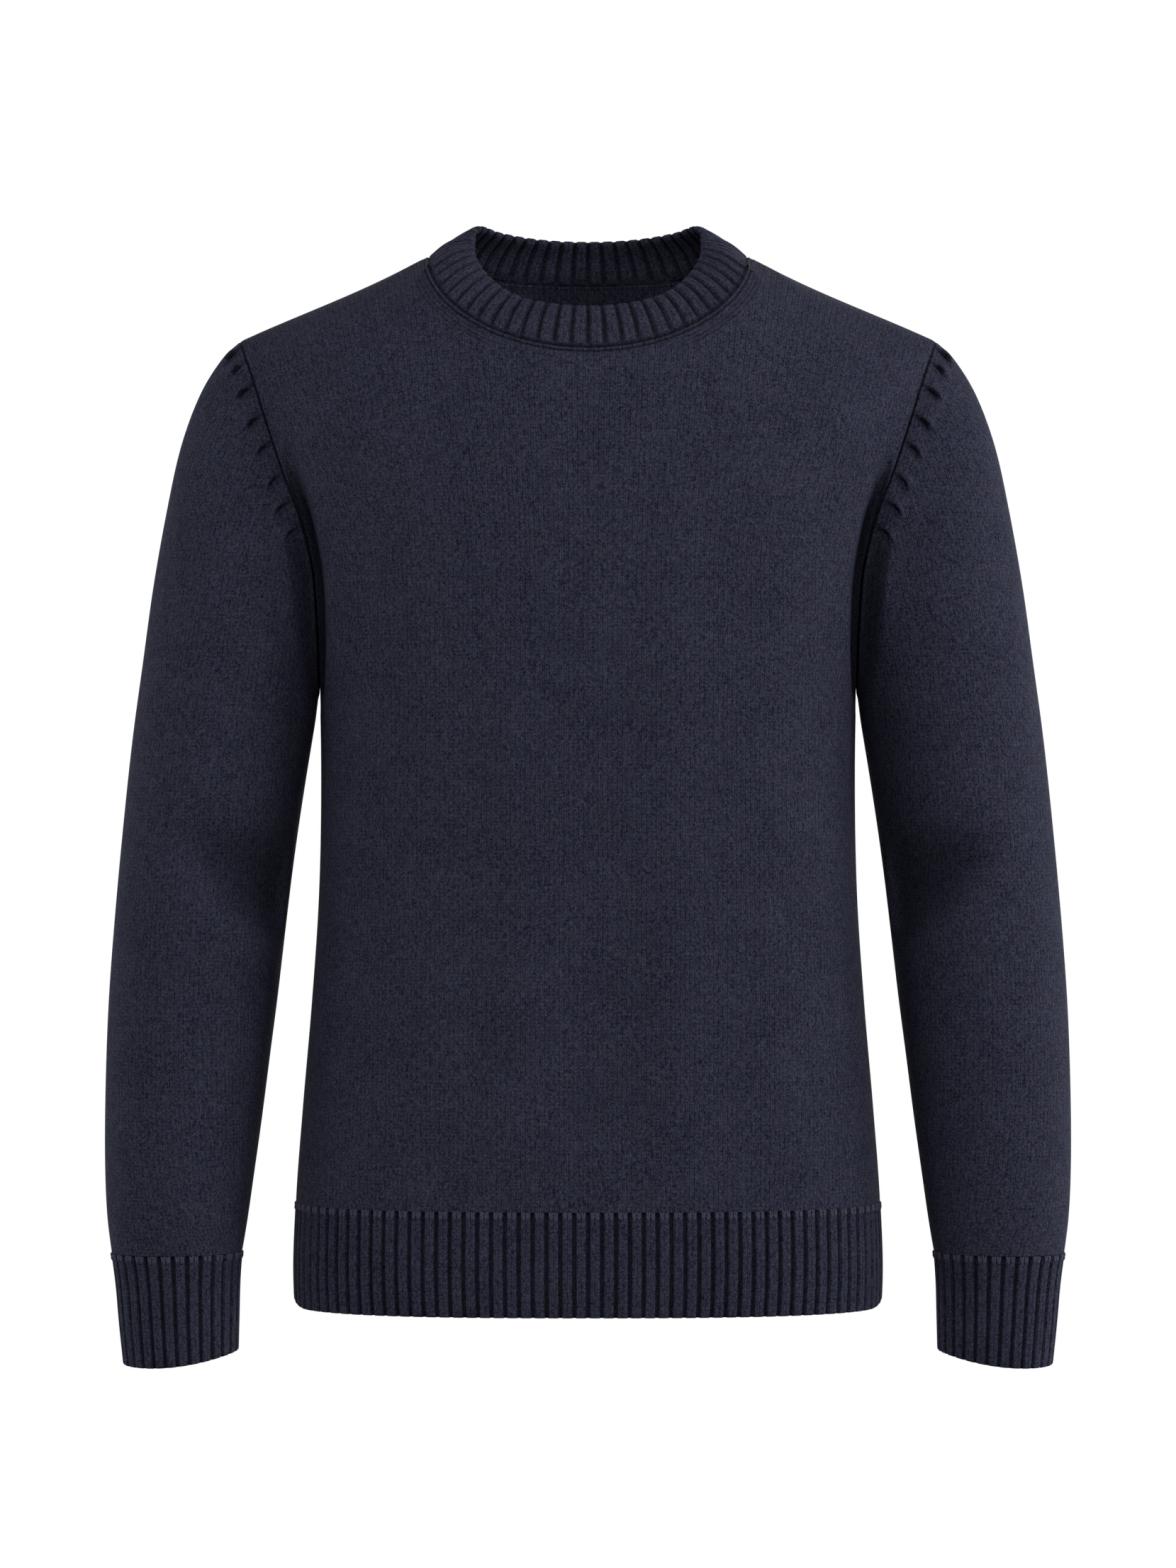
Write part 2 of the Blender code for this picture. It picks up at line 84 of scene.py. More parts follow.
def readTable(form, name, at):
    rows = np.array(form["rows"])
    x = rows[:, 0]
    y = rows[:, form["columns"].index(name)]
    slope = np.gradient(y, x)
    at = np.asarray(at, dtype=float)
    k = np.clip(np.searchsorted(x, at) - 1, 0, len(x) - 2)
    step = x[k + 1] - x[k]
    t = (at - x[k]) / step
    start = (2 * t ** 3 - 3 * t ** 2 + 1) * y[k] + (t ** 3 - 2 * t ** 2 + t) * step * slope[k]
    end = (3 * t ** 2 - 2 * t ** 3) * y[k + 1] + (t ** 3 - t ** 2) * step * slope[k + 1]
    return start + end


def unit(vectors):
    return vectors / np.maximum(np.linalg.norm(vectors, axis=-1, keepdims=True), 1e-12)


def smoothStep(low, high, value):
    t = np.clip((value - low) / (high - low), 0.0, 1.0)
    return t * t * (3 - 2 * t)


def bell(distance, width):
    return np.exp(-(distance / width) ** 2)


def nearness(away, reach):
    # one at a seam, falling evenly to nothing at the reach
    return np.clip(1 - away / reach, 0, 1)


def runLength(points):
    steps = np.linalg.norm(np.diff(points, axis=0), axis=1)
    return np.concatenate(([0.0], np.cumsum(steps)))


def atLength(points, lengths):
    run = runLength(points)
    return np.stack([np.interp(lengths, run, points[:, k]) for k in range(3)], axis=1)


def armholeX(z):
    return readTable(armholeLine, "x", z)


def section(side, z, shares):
    # half a horizontal section, from the middle to the side seam or the armhole
    form = bodyForm
    depth = float(readTable(form, "front" if side == front else "back", z))
    power = float(readTable(form, "power", z))
    edgeX = float(readTable(form, "halfWidth", z))
    edgeY = 0.0
    if z > form["underarmZ"]:
        drop = (form["chestZ"] - z) / (form["chestZ"] - form["underarmZ"])
        edgeX = float(armholeX(z))
        edgeY = form["armholeHalfDepth"] * math.sqrt(max(0.0, 1.0 - drop ** 2))
    last = math.acos(min(1.0, (edgeY / depth) ** (power / 2)))
    reach = edgeX / math.sin(last) ** (2 / power)
    turn = np.linspace(0.0, last, form["dense"])
    y = depth * np.clip(np.cos(turn), 0.0, 1.0) ** (2 / power)
    y[-1] = edgeY
    half = np.stack([reach * np.sin(turn) ** (2 / power), side * y, np.full(len(turn), z)], axis=1)
    whole = runLength(half)[-1]
    shares = np.asarray(shares)
    points = atLength(half, np.abs(shares) * whole)
    points[:, 0] *= np.where(shares < 0, -1.0, 1.0)
    return points, whole


def shoulderHeight(x):
    form = bodyForm
    x = np.abs(x)
    run = np.clip((x - form["neckHalfWidth"]) / (form["tipX"] - form["neckHalfWidth"]), 0.0, 1.0)
    slope = (form["tipZ"] - form["shoulderSag"]) / (form["tipX"] - form["neckHalfWidth"])
    crown = -slope * form["neckHalfWidth"] / 2
    inside = crown * (1 - np.minimum(1.0, x / form["neckHalfWidth"]) ** 2)
    return inside + form["tipZ"] * run - form["shoulderSag"] * run * (1 - run) ** 2


def dome(base, turn):
    # above the chest line: base is the column there, turn goes from 0 to a right angle
    form = bodyForm
    lift = np.sin(turn) ** (2 / form["domePower"])
    keep = np.clip(np.cos(turn), 0.0, 1.0) ** (2 / form["domePower"])
    keep = np.where(turn >= math.pi / 2, 0.0, keep)
    chest = form["chestZ"]
    widen = armholeX(chest + (form["tipZ"] - chest) * lift) / armholeX(chest)
    top = shoulderHeight(base[:, 0] * (armholeX(form["tipZ"]) / armholeX(chest)))
    return np.stack([
        base[:, 0] * widen,
        base[:, 1] * keep + form["ridgeY"] * (1 - keep),
        chest + (top - chest) * lift,
    ], axis=1)


def lastTurn(side, base):
    # where each column ends: on the neckline or on the shoulder line
    form = bodyForm
    drop = form["neckDropFront"] if side == front else form["neckDropBack"]
    full = math.pi / 2
    low = np.zeros(len(base))
    high = np.full(len(base), full)
    end = dome(base, high)
    for _ in range(form["halvings"]):
        middle = (low + high) / 2
        point = dome(base, middle)
        ratio = np.minimum(1.0, np.abs(point[:, 0]) / form["neckHalfWidth"])
        below = point[:, 2] < -drop * np.sqrt(1 - ratio ** 2)
        low = np.where(below, middle, low)
        high = np.where(below, high, middle)
    ratio = np.minimum(1.0, np.abs(end[:, 0]) / form["neckHalfWidth"])
    whole = (ratio >= 1.0) | (end[:, 2] <= -drop * np.sqrt(1 - ratio ** 2))
    return np.where(whole, full, low)


# front and back: faces along each stretch of a panel
panelGrid = {
    "torsoRows": 84, "underarmRows": 36, "domeRows": 63,
    "shoulderColumns": 32, "neckColumns": 96, "crowd": 0.25, "fan": 2.5,
    "walesSteps": 24, "edgeRow": 0.0005, "seamBand": 0.0125,
}
neckPart = slice(
    panelGrid["shoulderColumns"], panelGrid["shoulderColumns"] + panelGrid["neckColumns"] + 1,
)


def topShares(side):
    form = bodyForm
    shares = np.linspace(0.0, 1.0, form["dense"])
    chest = section(side, form["chestZ"], shares)[0]
    topX = chest[:, 0] * float(armholeX(form["tipZ"]) / armholeX(form["chestZ"]))
    corner = float(np.interp(form["neckHalfWidth"], topX, shares))
    dense = corner * np.sin(np.linspace(-math.pi / 2, math.pi / 2, form["dense"]))
    bases = section(side, form["chestZ"], dense)[0]
    run = runLength(dome(bases, lastTurn(side, bases)))
    even = np.linspace(0.0, run[-1], panelGrid["neckColumns"] + 1)
    outer = np.linspace(corner, 1.0, panelGrid["shoulderColumns"] + 1)[1:]
    return np.concatenate((-outer[::-1], np.interp(even, run, dense), outer))


def panelPoints(side):
    # rows of points from the welt to the top, with their places in the flat knitting
    form = bodyForm
    grid = panelGrid
    top = topShares(side)
    low = np.linspace(-1.0, 1.0, len(top))
    low = low * (1 + grid["crowd"] * (1 - low ** 2))
    rows = []
    wales = []
    courses = []
    heights = list(np.linspace(form["weltZ"] - cloth["gap"], form["underarmZ"], grid["torsoRows"]))
    heights.insert(1, heights[0] + grid["edgeRow"])
    for angle in np.linspace(0.0, math.pi / 2, grid["underarmRows"] + 1)[1:]:
        heights.append(form["chestZ"] + (form["underarmZ"] - form["chestZ"]) * math.cos(angle))
    for z in heights:
        row, whole = section(side, z, low)
        rows.append(row)
        wales.append(low * whole)
        courses.append(np.full(len(low), z))
    chestLength = section(side, form["chestZ"], low)[1]
    ends = lastTurn(side, section(side, form["chestZ"], top)[0])
    for step in np.linspace(0.0, 1.0, grid["domeRows"] + 1)[1:]:
        shares = low + (top - low) * step ** grid["fan"]
        bases = section(side, form["chestZ"], shares)[0]
        rows.append(dome(bases, ends * step))
        wales.append(shares * chestLength)
        climb = np.zeros(len(low))
        last = bases
        for part in range(1, grid["walesSteps"] + 1):
            here = dome(bases, ends * step * part / grid["walesSteps"])
            climb += np.linalg.norm(here - last, axis=1)
            last = here
        courses.append(form["chestZ"] + climb)
    points = np.array(rows)
    return points, np.stack([np.array(wales), np.array(courses)], axis=2)


def flatGrid(name, points, flat, flip=False):
    # a flat grid bent to its points; flat holds each point's place in the knitting
    rows, columns = points.shape[:2]
    mesh = bmesh.new()
    bmesh.ops.create_grid(mesh, x_segments=columns - 1, y_segments=rows - 1, size=0.5)
    for vert in mesh.verts:
        column = round((vert.co.x + 0.5) * (columns - 1))
        row = round((vert.co.y + 0.5) * (rows - 1))
        vert.co = points[row, column]
        vert.index = row * columns + column
    uv = mesh.loops.layers.uv.new("wales")
    places = flat.reshape(-1, 2)
    for face in mesh.faces:
        for loop in face.loops:
            loop[uv].uv = places[loop.vert.index]
    bmesh.ops.remove_doubles(mesh, verts=mesh.verts, dist=1e-6)
    if flip:
        bmesh.ops.reverse_faces(mesh, faces=mesh.faces)
    mesh.normal_update()
    return mesh


def edgeFinder(points, spacing=0.0005):
    # finds how far a point lies from a seam and how far along the seam that is
    whole = runLength(points)[-1]
    lengths = np.arange(0.0, whole, spacing)
    dense = atLength(points, lengths)
    tree = KDTree(len(dense))
    for k, point in enumerate(dense):
        tree.insert(point, k)
    tree.balance()
    return tree, lengths, dense


def measureFrom(mesh, finder):
    tree, lengths, dense = finder
    found = [tree.find(vert.co) for vert in mesh.verts]
    away = np.array([item[2] for item in found])
    nearest = np.array([item[1] for item in found])
    return away, lengths[nearest], dense[nearest]


def awayFrom(mesh, *lines):
    return np.min([measureFrom(mesh, edgeFinder(line))[0] for line in lines], axis=0)


# each seam: how deep the cloth turns in and how far away, how dark its painted shade is and how far
# away
seamRolls = {
    "armhole": (0.0005, 0.0016, 0.8, 0.0009),
    "side": (0.0006, 0.0035, 0.5, 0.001),
    "shoulder": (0.0006, 0.0035, 0.0, 0.001),
    "welt": (0.0001, 0.004, 0.0, 0.001),
    "cap": (0.0007, 0.0022, 0.85, 0.001),
    "underarm": (0.0006, 0.003, 0.35, 0.001),
}


def rollIn(aways):
    height = 0.0
    shade = 0.0
    for name, away in aways.items():
        depth, reach, dark, darkReach = seamRolls[name]
        height = height - depth * nearness(away, reach) ** 2
        # painted shade along the seam's groove
        shade = np.maximum(shade, dark * nearness(away, darkReach))
    return height, shade


def splitNear(mesh, near, cuts):
    # finer faces wherever a vertex is marked as near
    faces = [face for face in mesh.faces if any(near[vert.index] for vert in face.verts)]
    edges = list({edge for face in faces for edge in face.edges})
    bmesh.ops.subdivide_edges(mesh, edges=edges, cuts=cuts, use_grid_fill=True)


def shiftVerts(mesh, moves):
    for vert, move in zip(mesh.verts, moves):
        vert.co += Vector(move)


# the deep crease where the sleeve hangs against the body, below the middle of the armhole
valley = {
    "startZ": -0.116, "fullZ": -0.196, "depth": 0.031, "limit": 0.66,
    "seamStartZ": -0.152, "seamFullZ": -0.215, "seamShare": 0.62,
    "middle": ((-0.19, 0.0065), (-0.168, 0.0088), (-0.15, 0.011), (-0.13, 0.0125)),
    "half": ((-0.19, 0.0088), (-0.168, 0.0075), (-0.15, 0.0062), (-0.13, 0.0048)),
    "nearRise": (1.9, 0.3), "farRise": (1.35, 0.35), "sleeveWall": 0.015,
}


def valleyMoves(away, seam, onPanel):
    form = valley
    level = seam[:, 2]
    depth = form["depth"] * smoothStep(form["startZ"], form["fullZ"], level)
    depth = np.minimum(depth, form["limit"] * np.abs(seam[:, 1]))
    share = form["seamShare"] * smoothStep(form["seamStartZ"], form["seamFullZ"], level)
    if onPanel:
        middle = np.interp(level, *zip(*form["middle"]))
        half = np.interp(level, *zip(*form["half"]))
        off = (away - middle) / half
        share = share + (1 - share) * smoothStep(-form["nearRise"][0], -form["nearRise"][1], off)
        share = share * smoothStep(form["farRise"][0], form["farRise"][1], off)
    else:
        share = share * smoothStep(form["sleeveWall"], 0.0, away)
    moves = np.zeros((len(away), 3))
    moves[:, 1] = -np.sign(seam[:, 1]) * depth * share
    return moves


# long soft folds that hang down the body: x and z at the top and bottom ends of each
bodyFolds = {
    "front": (
        {"x": (-0.044, -0.046), "z": (-0.3, -0.56), "height": 0.0019, "width": 0.024},
        {"x": (0.051, 0.056), "z": (-0.215, -0.5), "height": 0.0024, "width": 0.021},
        {"x": (0.12, 0.128), "z": (-0.235, -0.57), "height": 0.0028, "width": 0.022},
        {"x": (-0.112, -0.1), "z": (-0.25, -0.43), "height": 0.0012, "width": 0.022},
    ),
    "back": (
        {"x": (0.038, 0.05), "z": (-0.27, -0.54), "height": 0.0022, "width": 0.024},
        {"x": (-0.06, -0.052), "z": (-0.22, -0.52), "height": 0.0024, "width": 0.022},
        {"x": (-0.128, -0.118), "z": (-0.26, -0.56), "height": 0.0024, "width": 0.021},
        {"x": (0.122, 0.116), "z": (-0.24, -0.5), "height": 0.0018, "width": 0.022},
    ),
    "fadeTop": 0.07, "fadeInside": 0.02, "fadeBottom": 0.11, "weltFade": (0.004, 0.04),
}


def hangingFolds(place, folds):
    form = bodyFolds
    x = place[:, 0]
    z = place[:, 2]
    weltStart, weltEnd = (bodyForm["weltZ"] + rise for rise in form["weltFade"])
    height = np.zeros(len(place))
    for fold in folds:
        top, bottom = fold["z"]
        t = np.clip((top - z) / (top - bottom), 0.0, 1.0)
        middle = fold["x"][0] + (fold["x"][1] - fold["x"][0]) * t
        shown = smoothStep(top + form["fadeTop"], top - form["fadeInside"], z)
        shown *= smoothStep(bottom - form["fadeBottom"], bottom, z)
        shown *= smoothStep(weltStart, weltEnd, z)
        height += fold["height"] * shown * bell(x - middle, fold["width"])
    return height


def pushOut(mesh, height):
    mesh.normal_update()
    for vert, rise in zip(mesh.verts, height):
        vert.co += vert.normal * float(rise)
    mesh.normal_update()


def vertArray(mesh):
    return np.array([vert.co[:] for vert in mesh.verts])


def storeShade(mesh, shade, edge=None):
    # what the material reads besides the places in the knitting
    # shade is painted shade: the material mixes the colour by it towards the deep colour
    edge = np.zeros(len(shade)) if edge is None else edge
    shadeLayer = mesh.verts.layers.float.new("shade")
    edgeLayer = mesh.verts.layers.float.new("edgeMix")
    for vert, dark, mix in zip(mesh.verts, shade, edge):
        vert[shadeLayer] = float(dark)
        vert[edgeLayer] = float(mix)


def storeEdgeWales(mesh, away, along):
    layer = mesh.loops.layers.uv.new("edgeWales")
    mesh.verts.index_update()
    for face in mesh.faces:
        for loop in face.loops:
            k = loop.vert.index
            loop[layer].uv = (away[k], along[k])


def addItem(name, data):
    item = bpy.data.objects.new(name, data)
    bpy.context.scene.collection.objects.link(item)
    return item


def meshItem(name, mesh, material):
    data = bpy.data.meshes.new(name)
    mesh.to_mesh(data)
    mesh.free()
    data.materials.append(material)
    return addItem(name, data)


def finishPiece(facts, mesh, material, extra="", thick=None):
    piece = meshItem(facts["piece"] + extra, mesh, material)
    piece.data.shade_smooth()
    if thick:
        wall = piece.modifiers.new("cloth thickness", "SOLIDIFY")
        wall.thickness = thick
        wall.offset = -1.0
        wall.use_even_offset = False
        wall.use_rim = True
    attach(piece, "root")
    if not extra:
        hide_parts(facts["node"])
    return piece


# shader maths: sums of sockets, and one way to add any other node
class Wire:
    def __init__(self, tree, socket=None):
        self.tree = tree
        self.socket = socket

    def fill(self, node, inputs):
        for key, value in inputs.items():
            if isinstance(value, Wire):
                self.tree.links.new(value.socket, node.inputs[key])
            else:
                node.inputs[key].default_value = value

    def node(self, kind, settings, inputs, output=0):
        made = self.tree.nodes.new("ShaderNode" + kind)
        for key, value in settings.items():
            setattr(made, key, value)
        self.fill(made, inputs)
        return Wire(self.tree, made.outputs[output])

    def maths(self, operation, *others):
        return self.node("Math", {"operation": operation}, dict(enumerate((self, *others))))

    def atLeast(self, low):
        return self.maths("MAXIMUM", low)

    def __add__(self, other):
        return self.maths("ADD", other)

    def __sub__(self, other):
        return self.maths("SUBTRACT", other)

    def __rsub__(self, other):
        return self.node("Math", {"operation": "SUBTRACT"}, {0: other, 1: self})

    def __mul__(self, other):
        return self.maths("MULTIPLY", other)

    def __truediv__(self, other):
        return self.maths("DIVIDE", other)

    def __pow__(self, other):
        return self.maths("POWER", other)

    __radd__ = __add__
    __rmul__ = __mul__


yarn = {
    "colour": (0.0131, 0.014, 0.0236, 1.0),
    "warm": (0.0178, 0.0142, 0.0222, 1.0),
    "pale": (0.016, 0.019, 0.0315, 1.0),
    "fleckAndShade": (0.013, 0.0136, 0.0186),
    # the near-black colour that painted shade darkens towards
    "deep": (0.0014, 0.0014, 0.0024, 1.0),
    "tintScale": 190.0, "heatherScale": 820.0, "fibreScale": 1400.0, "patchScale": 30.0,
    "stitchLow": 0.61, "stitchGain": 0.74, "toneGain": 0.5, "heatherGain": 3.0, "tintGain": 1.7,
    "fibreGain": 0.45, "patchGain": 0.5, "topStitchHighlight": 1.05, "darkest": 0.3,
    "roughness": 0.95, "specular": 0.02,
    "bumpDistance": 0.0005, "bumpStrength": 0.55, "fibreBump": 0.3, "heatherBump": 0.6,
    "wander": 0.0006, "courseWander": 1.7, "wanderScale": 130.0,
}
# a stitch's legs: their slant in courses, and where a strand's swell starts and ends
stitchForm = {
    "slant": 0.62, "swellStart": 0.44, "swellTurn": 2.7, "swellPower": 0.7,
    "least": 0.001, "most": 0.999,
}


def stitchField(start, wale, course):
    # plain knit: each wale is a column of V stitches; gives its height and its tone
    form = stitchForm
    across = (wale.maths("FRACT") - 0.5).maths("ABSOLUTE") * 2.0
    lean = course - across * form["slant"]
    strand = (across * form["swellTurn"] + form["swellStart"]).maths("SINE")
    loop = (lean.maths("FRACT") * math.pi).maths("SINE")
    height = (strand * form["most"] + form["least"]) ** form["swellPower"] * (0.5 + loop * 0.5)
    cell = start.node("CombineXYZ", {}, {
        "X": (wale * 2.0).maths("FLOOR"), "Y": lean.maths("FLOOR"), "Z": 0.0,
    })
    return height, start.node("TexWhiteNoise", {"noise_dimensions": "2D"}, {"Vector": cell})


def knitMaterial(name, edged):
    look = yarn
    material = bpy.data.materials.new(name)
    material.use_nodes = True
    tree = material.node_tree
    start = Wire(tree)
    place = start.node("TexCoord", {}, {}, "Object")

    def noise(scale, detail=1.0):
        return start.node("TexNoise", {}, {"Vector": place, "Scale": scale, "Detail": detail}) - 0.5

    def flatPlace(mapName, axis):
        flat = start.node("UVMap", {"uv_map": mapName}, {})
        return start.node("SeparateXYZ", {}, {"Vector": flat}, axis)

    def blend(share, first, second):
        return start.node("Mix", {"data_type": "RGBA"}, {"Factor": share, 6: first, 7: second}, 2)

    wander = noise(look["wanderScale"])
    patches = noise(look["patchScale"], 3.0)
    tint = noise(look["tintScale"])
    heather = noise(look["heatherScale"])
    fibre = noise(look["fibreScale"])

    def fieldOn(mapName):
        u = flatPlace(mapName, "X") + wander * look["wander"]
        v = flatPlace(mapName, "Y") + wander * (look["wander"] * look["courseWander"])
        return stitchField(start, u / cloth["waleWidth"], v / cloth["courseHeight"])

    height, tone = fieldOn("wales")
    shade = start.node("Attribute", {"attribute_name": "shade"}, {}, "Fac")
    if edged:
        mix = start.node("Attribute", {"attribute_name": "edgeMix"}, {}, "Fac")
        edgeHeight, edgeTone = fieldOn("edgeWales")
        height = height * (1.0 - mix) + edgeHeight * mix
        tone = tone * (1.0 - mix) + edgeTone * mix
    # the stitch height darkens the colour in the gaps between loops: painted shade
    # tone, heather and fibre vary the yarn's own tone; patches lighten and darken it at random over
    # a few centimetres
    light = look["stitchLow"] + height * look["stitchGain"] + (tone - 0.5) * look["toneGain"]
    light = light + heather * look["heatherGain"] + fibre * look["fibreGain"]
    light = light + patches * look["patchGain"]
    # painted highlight: the V stitches on top of the ribs sit high in the courses and are made
    # lighter
    if not edged:
        onStitch = flatPlace("wales", "Y").maths("GREATER_THAN", 0.5)
        light = light + onStitch * look["topStitchHighlight"]
    light = light.atLeast(look["darkest"]) - 1.0
    colour = blend((tint * look["tintGain"]).atLeast(0.0), look["colour"], look["warm"])
    colour = blend((tint * -look["tintGain"]).atLeast(0.0), colour, look["pale"])
    flecksAndShade = start.node("VectorMath", {"operation": "SCALE"}, {0: look["fleckAndShade"], "Scale": light})
    lit = start.node("VectorMath", {"operation": "ADD"}, {0: colour, 1: flecksAndShade})
    bump = start.node("Bump", {}, {
        "Strength": look["bumpStrength"],
        "Distance": look["bumpDistance"],
        "Height": height + fibre * look["fibreBump"] + heather * look["heatherBump"],
    })
    start.fill(tree.nodes["Principled BSDF"], {
        # painted shade: the shade attribute darkens Base Color towards the deep colour
        "Base Color": blend(shade, lit, look["deep"]), "Normal": bump,
        "Roughness": look["roughness"], "Specular IOR Level": look["specular"],
    })
    return material


plainKnit = knitMaterial("navy plain knit", True)
ribKnit = knitMaterial("navy rib knit", False)
print("materials made")

panelSizes = {
    "front": {
        "side": front, "piece": "frontPanel", "node": "front", "slot": "front_knit",
        "flat": (0.505, 0.625), "area": 0.272, "neckShade": 0.95, "seamCuts": 3,
    },
    "back": {
        "side": back, "piece": "backPanel", "node": "back", "slot": "back_knit",
        "flat": (0.495, 0.635), "area": 0.275, "neckShade": 0.3, "seamCuts": 2,
    },
}
panelSeams = {
    "neckGroove": 0.0006, "neckGrooveReach": 0.002, "neckShadeEdge": (0.0017, 0.0009),
    "neckRoll": 0.0005, "neckRollAt": 0.0022, "neckRollSize": 0.0009, "ridgeReach": 0.016,
    "neckLine": 0.0036, "neckLineDepth": 0.0006, "neckLineShade": 0.78,
    "fashionLines": (0.0068, 0.0092, 0.0116), "fashionDepth": 0.00025, "fashionShade": 0.26,
    "fashionStart": 0.05, "fashionFull": 0.07, "fashionReach": 0.0135, "fashionBlend": 0.0005,
    "lineSize": 0.0007, "lineShadeSize": 0.0006,
}


def makePanel(facts):
    seams = panelSeams
    grid = panelGrid
    side = facts["side"]
    points, flat = panels[side]
    underarm = grid["torsoRows"]
    corner = grid["shoulderColumns"]
    mesh = flatGrid(facts["piece"], points, flat, flip=side == back)

    neckFinder = edgeFinder(points[-1, neckPart])
    mesh.verts.index_update()
    near = measureFrom(mesh, neckFinder)[0] < grid["seamBand"]
    splitNear(mesh, near, facts["seamCuts"])
    neckAway, neckAlong, _ = measureFrom(mesh, neckFinder)
    left = measureFrom(mesh, edgeFinder(points[underarm:, -1]))
    right = measureFrom(mesh, edgeFinder(points[underarm:, 0]))
    nearLeft = left[0] < right[0]
    armAway = np.where(nearLeft, left[0], right[0])
    armSeam = np.where(nearLeft[:, None], left[2], right[2])
    shoulderAway = awayFrom(mesh, points[-1, :corner + 1], points[-1, -corner - 1:])
    height, shade = rollIn({
        "armhole": armAway,
        "side": awayFrom(mesh, points[:underarm + 1, -1], points[:underarm + 1, 0]),
        "shoulder": shoulderAway,
        "welt": awayFrom(mesh, points[0]),
    })
    place = vertArray(mesh)
    sideways = smoothStep(seams["fashionStart"], seams["fashionFull"], np.abs(place[:, 0]))
    ridge = smoothStep(0.0, seams["ridgeReach"], shoulderAway)
    height -= seams["neckGroove"] * nearness(neckAway, seams["neckGrooveReach"])
    neckRoll = seams["neckRoll"] * ridge
    height += neckRoll * bell(neckAway - seams["neckRollAt"], seams["neckRollSize"])
    height -= seams["neckLineDepth"] * bell(neckAway - seams["neckLine"], seams["lineSize"])
    # painted shade under the neckband's foot and in the neck line below it, weaker on the back
    groove = smoothStep(*seams["neckShadeEdge"], neckAway)
    line = seams["neckLineShade"] * bell(neckAway - seams["neckLine"], seams["lineShadeSize"])
    shade = np.maximum(shade, facts["neckShade"] * np.maximum(groove, line))
    # each fashioning line is a shallow groove with painted shade in it
    for line in seams["fashionLines"]:
        off = neckAway - line
        height -= seams["fashionDepth"] * bell(off, seams["lineSize"]) * sideways
        dark = seams["fashionShade"] * bell(off, seams["lineShadeSize"]) * sideways
        shade = np.maximum(shade, dark)
    blend = seams["fashionBlend"]
    edge = smoothStep(blend, -blend, neckAway - seams["fashionReach"]) * sideways
    height += hangingFolds(place, bodyFolds[facts["node"]])
    pushOut(mesh, height)
    shiftVerts(mesh, valleyMoves(armAway, armSeam, True))
    storeShade(mesh, shade, np.where(neckAway < armAway, edge, 0.0))
    storeEdgeWales(mesh, neckAway, neckAlong)
    return finishPiece(facts, mesh, plainKnit, thick=cloth["wall"])


panels = {side: panelPoints(side) for side in (front, back)}
panelPieces = {name: makePanel(facts) for name, facts in panelSizes.items()}
print("panels made")

# sleeves: tilted rings from the armhole to the cuff
sleeveForm = {
    "columns": ("ring", "outerX", "outerZ", "innerX", "innerZ", "halfDepth", "middleY", "round"),
    "rows": (
        (0, 0.223, -0.055, 0.1717, -0.28, 0.058, 0.0, 0.0),
        (1, 0.235, -0.0668, 0.1729, -0.284, 0.06, 0.0, 0.25),
        (2, 0.249, -0.09, 0.1737, -0.2895, 0.0612, 0.0, 0.5),
        (3, 0.261, -0.1235, 0.175, -0.3, 0.062, -0.001, 0.75),
        (4, 0.27, -0.165, 0.1776, -0.316, 0.0625, -0.001, 0.92),
        (5, 0.2783, -0.212, 0.1815, -0.34, 0.0622, -0.001, 1.0),
        (6, 0.285, -0.261, 0.186, -0.37, 0.0618, -0.002, 1.0),
        (7, 0.2918, -0.312, 0.19, -0.4, 0.061, -0.003, 1.0),
        (8, 0.298, -0.372, 0.1942, -0.436, 0.0596, -0.005, 1.0),
        (9, 0.303, -0.43, 0.1986, -0.475, 0.0578, -0.008, 1.0),
        (10, 0.3063, -0.48, 0.203, -0.51, 0.0556, -0.011, 1.0),
        (11, 0.3078, -0.53, 0.2082, -0.552, 0.0525, -0.015, 1.0),
        (12, 0.3078, -0.576, 0.213, -0.588, 0.0487, -0.02, 1.0),
        (13, 0.3062, -0.611, 0.2168, -0.616, 0.044, -0.024, 1.0),
        (14, 0.303, -0.637, 0.22, -0.636, 0.0385, -0.0265, 1.0),
    ),
    "capRings": 24, "capEnd": 2.0, "armRings": 60, "edgeRing": 0.02, "capCuts": 4,
    "levelStep": 0.002, "edgeBlend": (0.0105, 0.0095),
}
cuffForm = {
    "columns": ("ring", "outerX", "outerZ", "innerX", "innerZ", "halfDepth", "middleY"),
    "rows": (
        (0, 0.303, -0.637, 0.22, -0.636, 0.0385, -0.0265),
        (1, 0.3002, -0.658, 0.2212, -0.655, 0.0345, -0.028),
        (2, 0.298, -0.682, 0.2217, -0.677, 0.033, -0.0292),
        (3, 0.2952, -0.708, 0.2222, -0.699, 0.032, -0.03),
    ),
    "ribs": 28, "length": 0.0675, "sag": 0.003, "firstStitch": 0, "flat": (0.235, 0.068),
}


def squareTo(half):
    return unit(np.array((half[2], 0.0, -half[0])))


def armholeShape():
    form = bodyForm
    start = panelGrid["torsoRows"]
    frontEdge = panels[front][0][start:, -1][::-1]
    backEdge = panels[back][0][start:, -1][1:-1]
    loop = np.concatenate((frontEdge, backEdge))
    half = (frontEdge[0] - frontEdge[-1]) * (0.5, 0.0, 0.5)
    middle = (frontEdge[0] + frontEdge[-1]) * (0.5, 0.0, 0.5)
    offset = loop - middle
    return np.stack([
        offset @ half / (half @ half),
        loop[:, 1] / form["armholeHalfDepth"],
        offset @ squareTo(half),
    ])


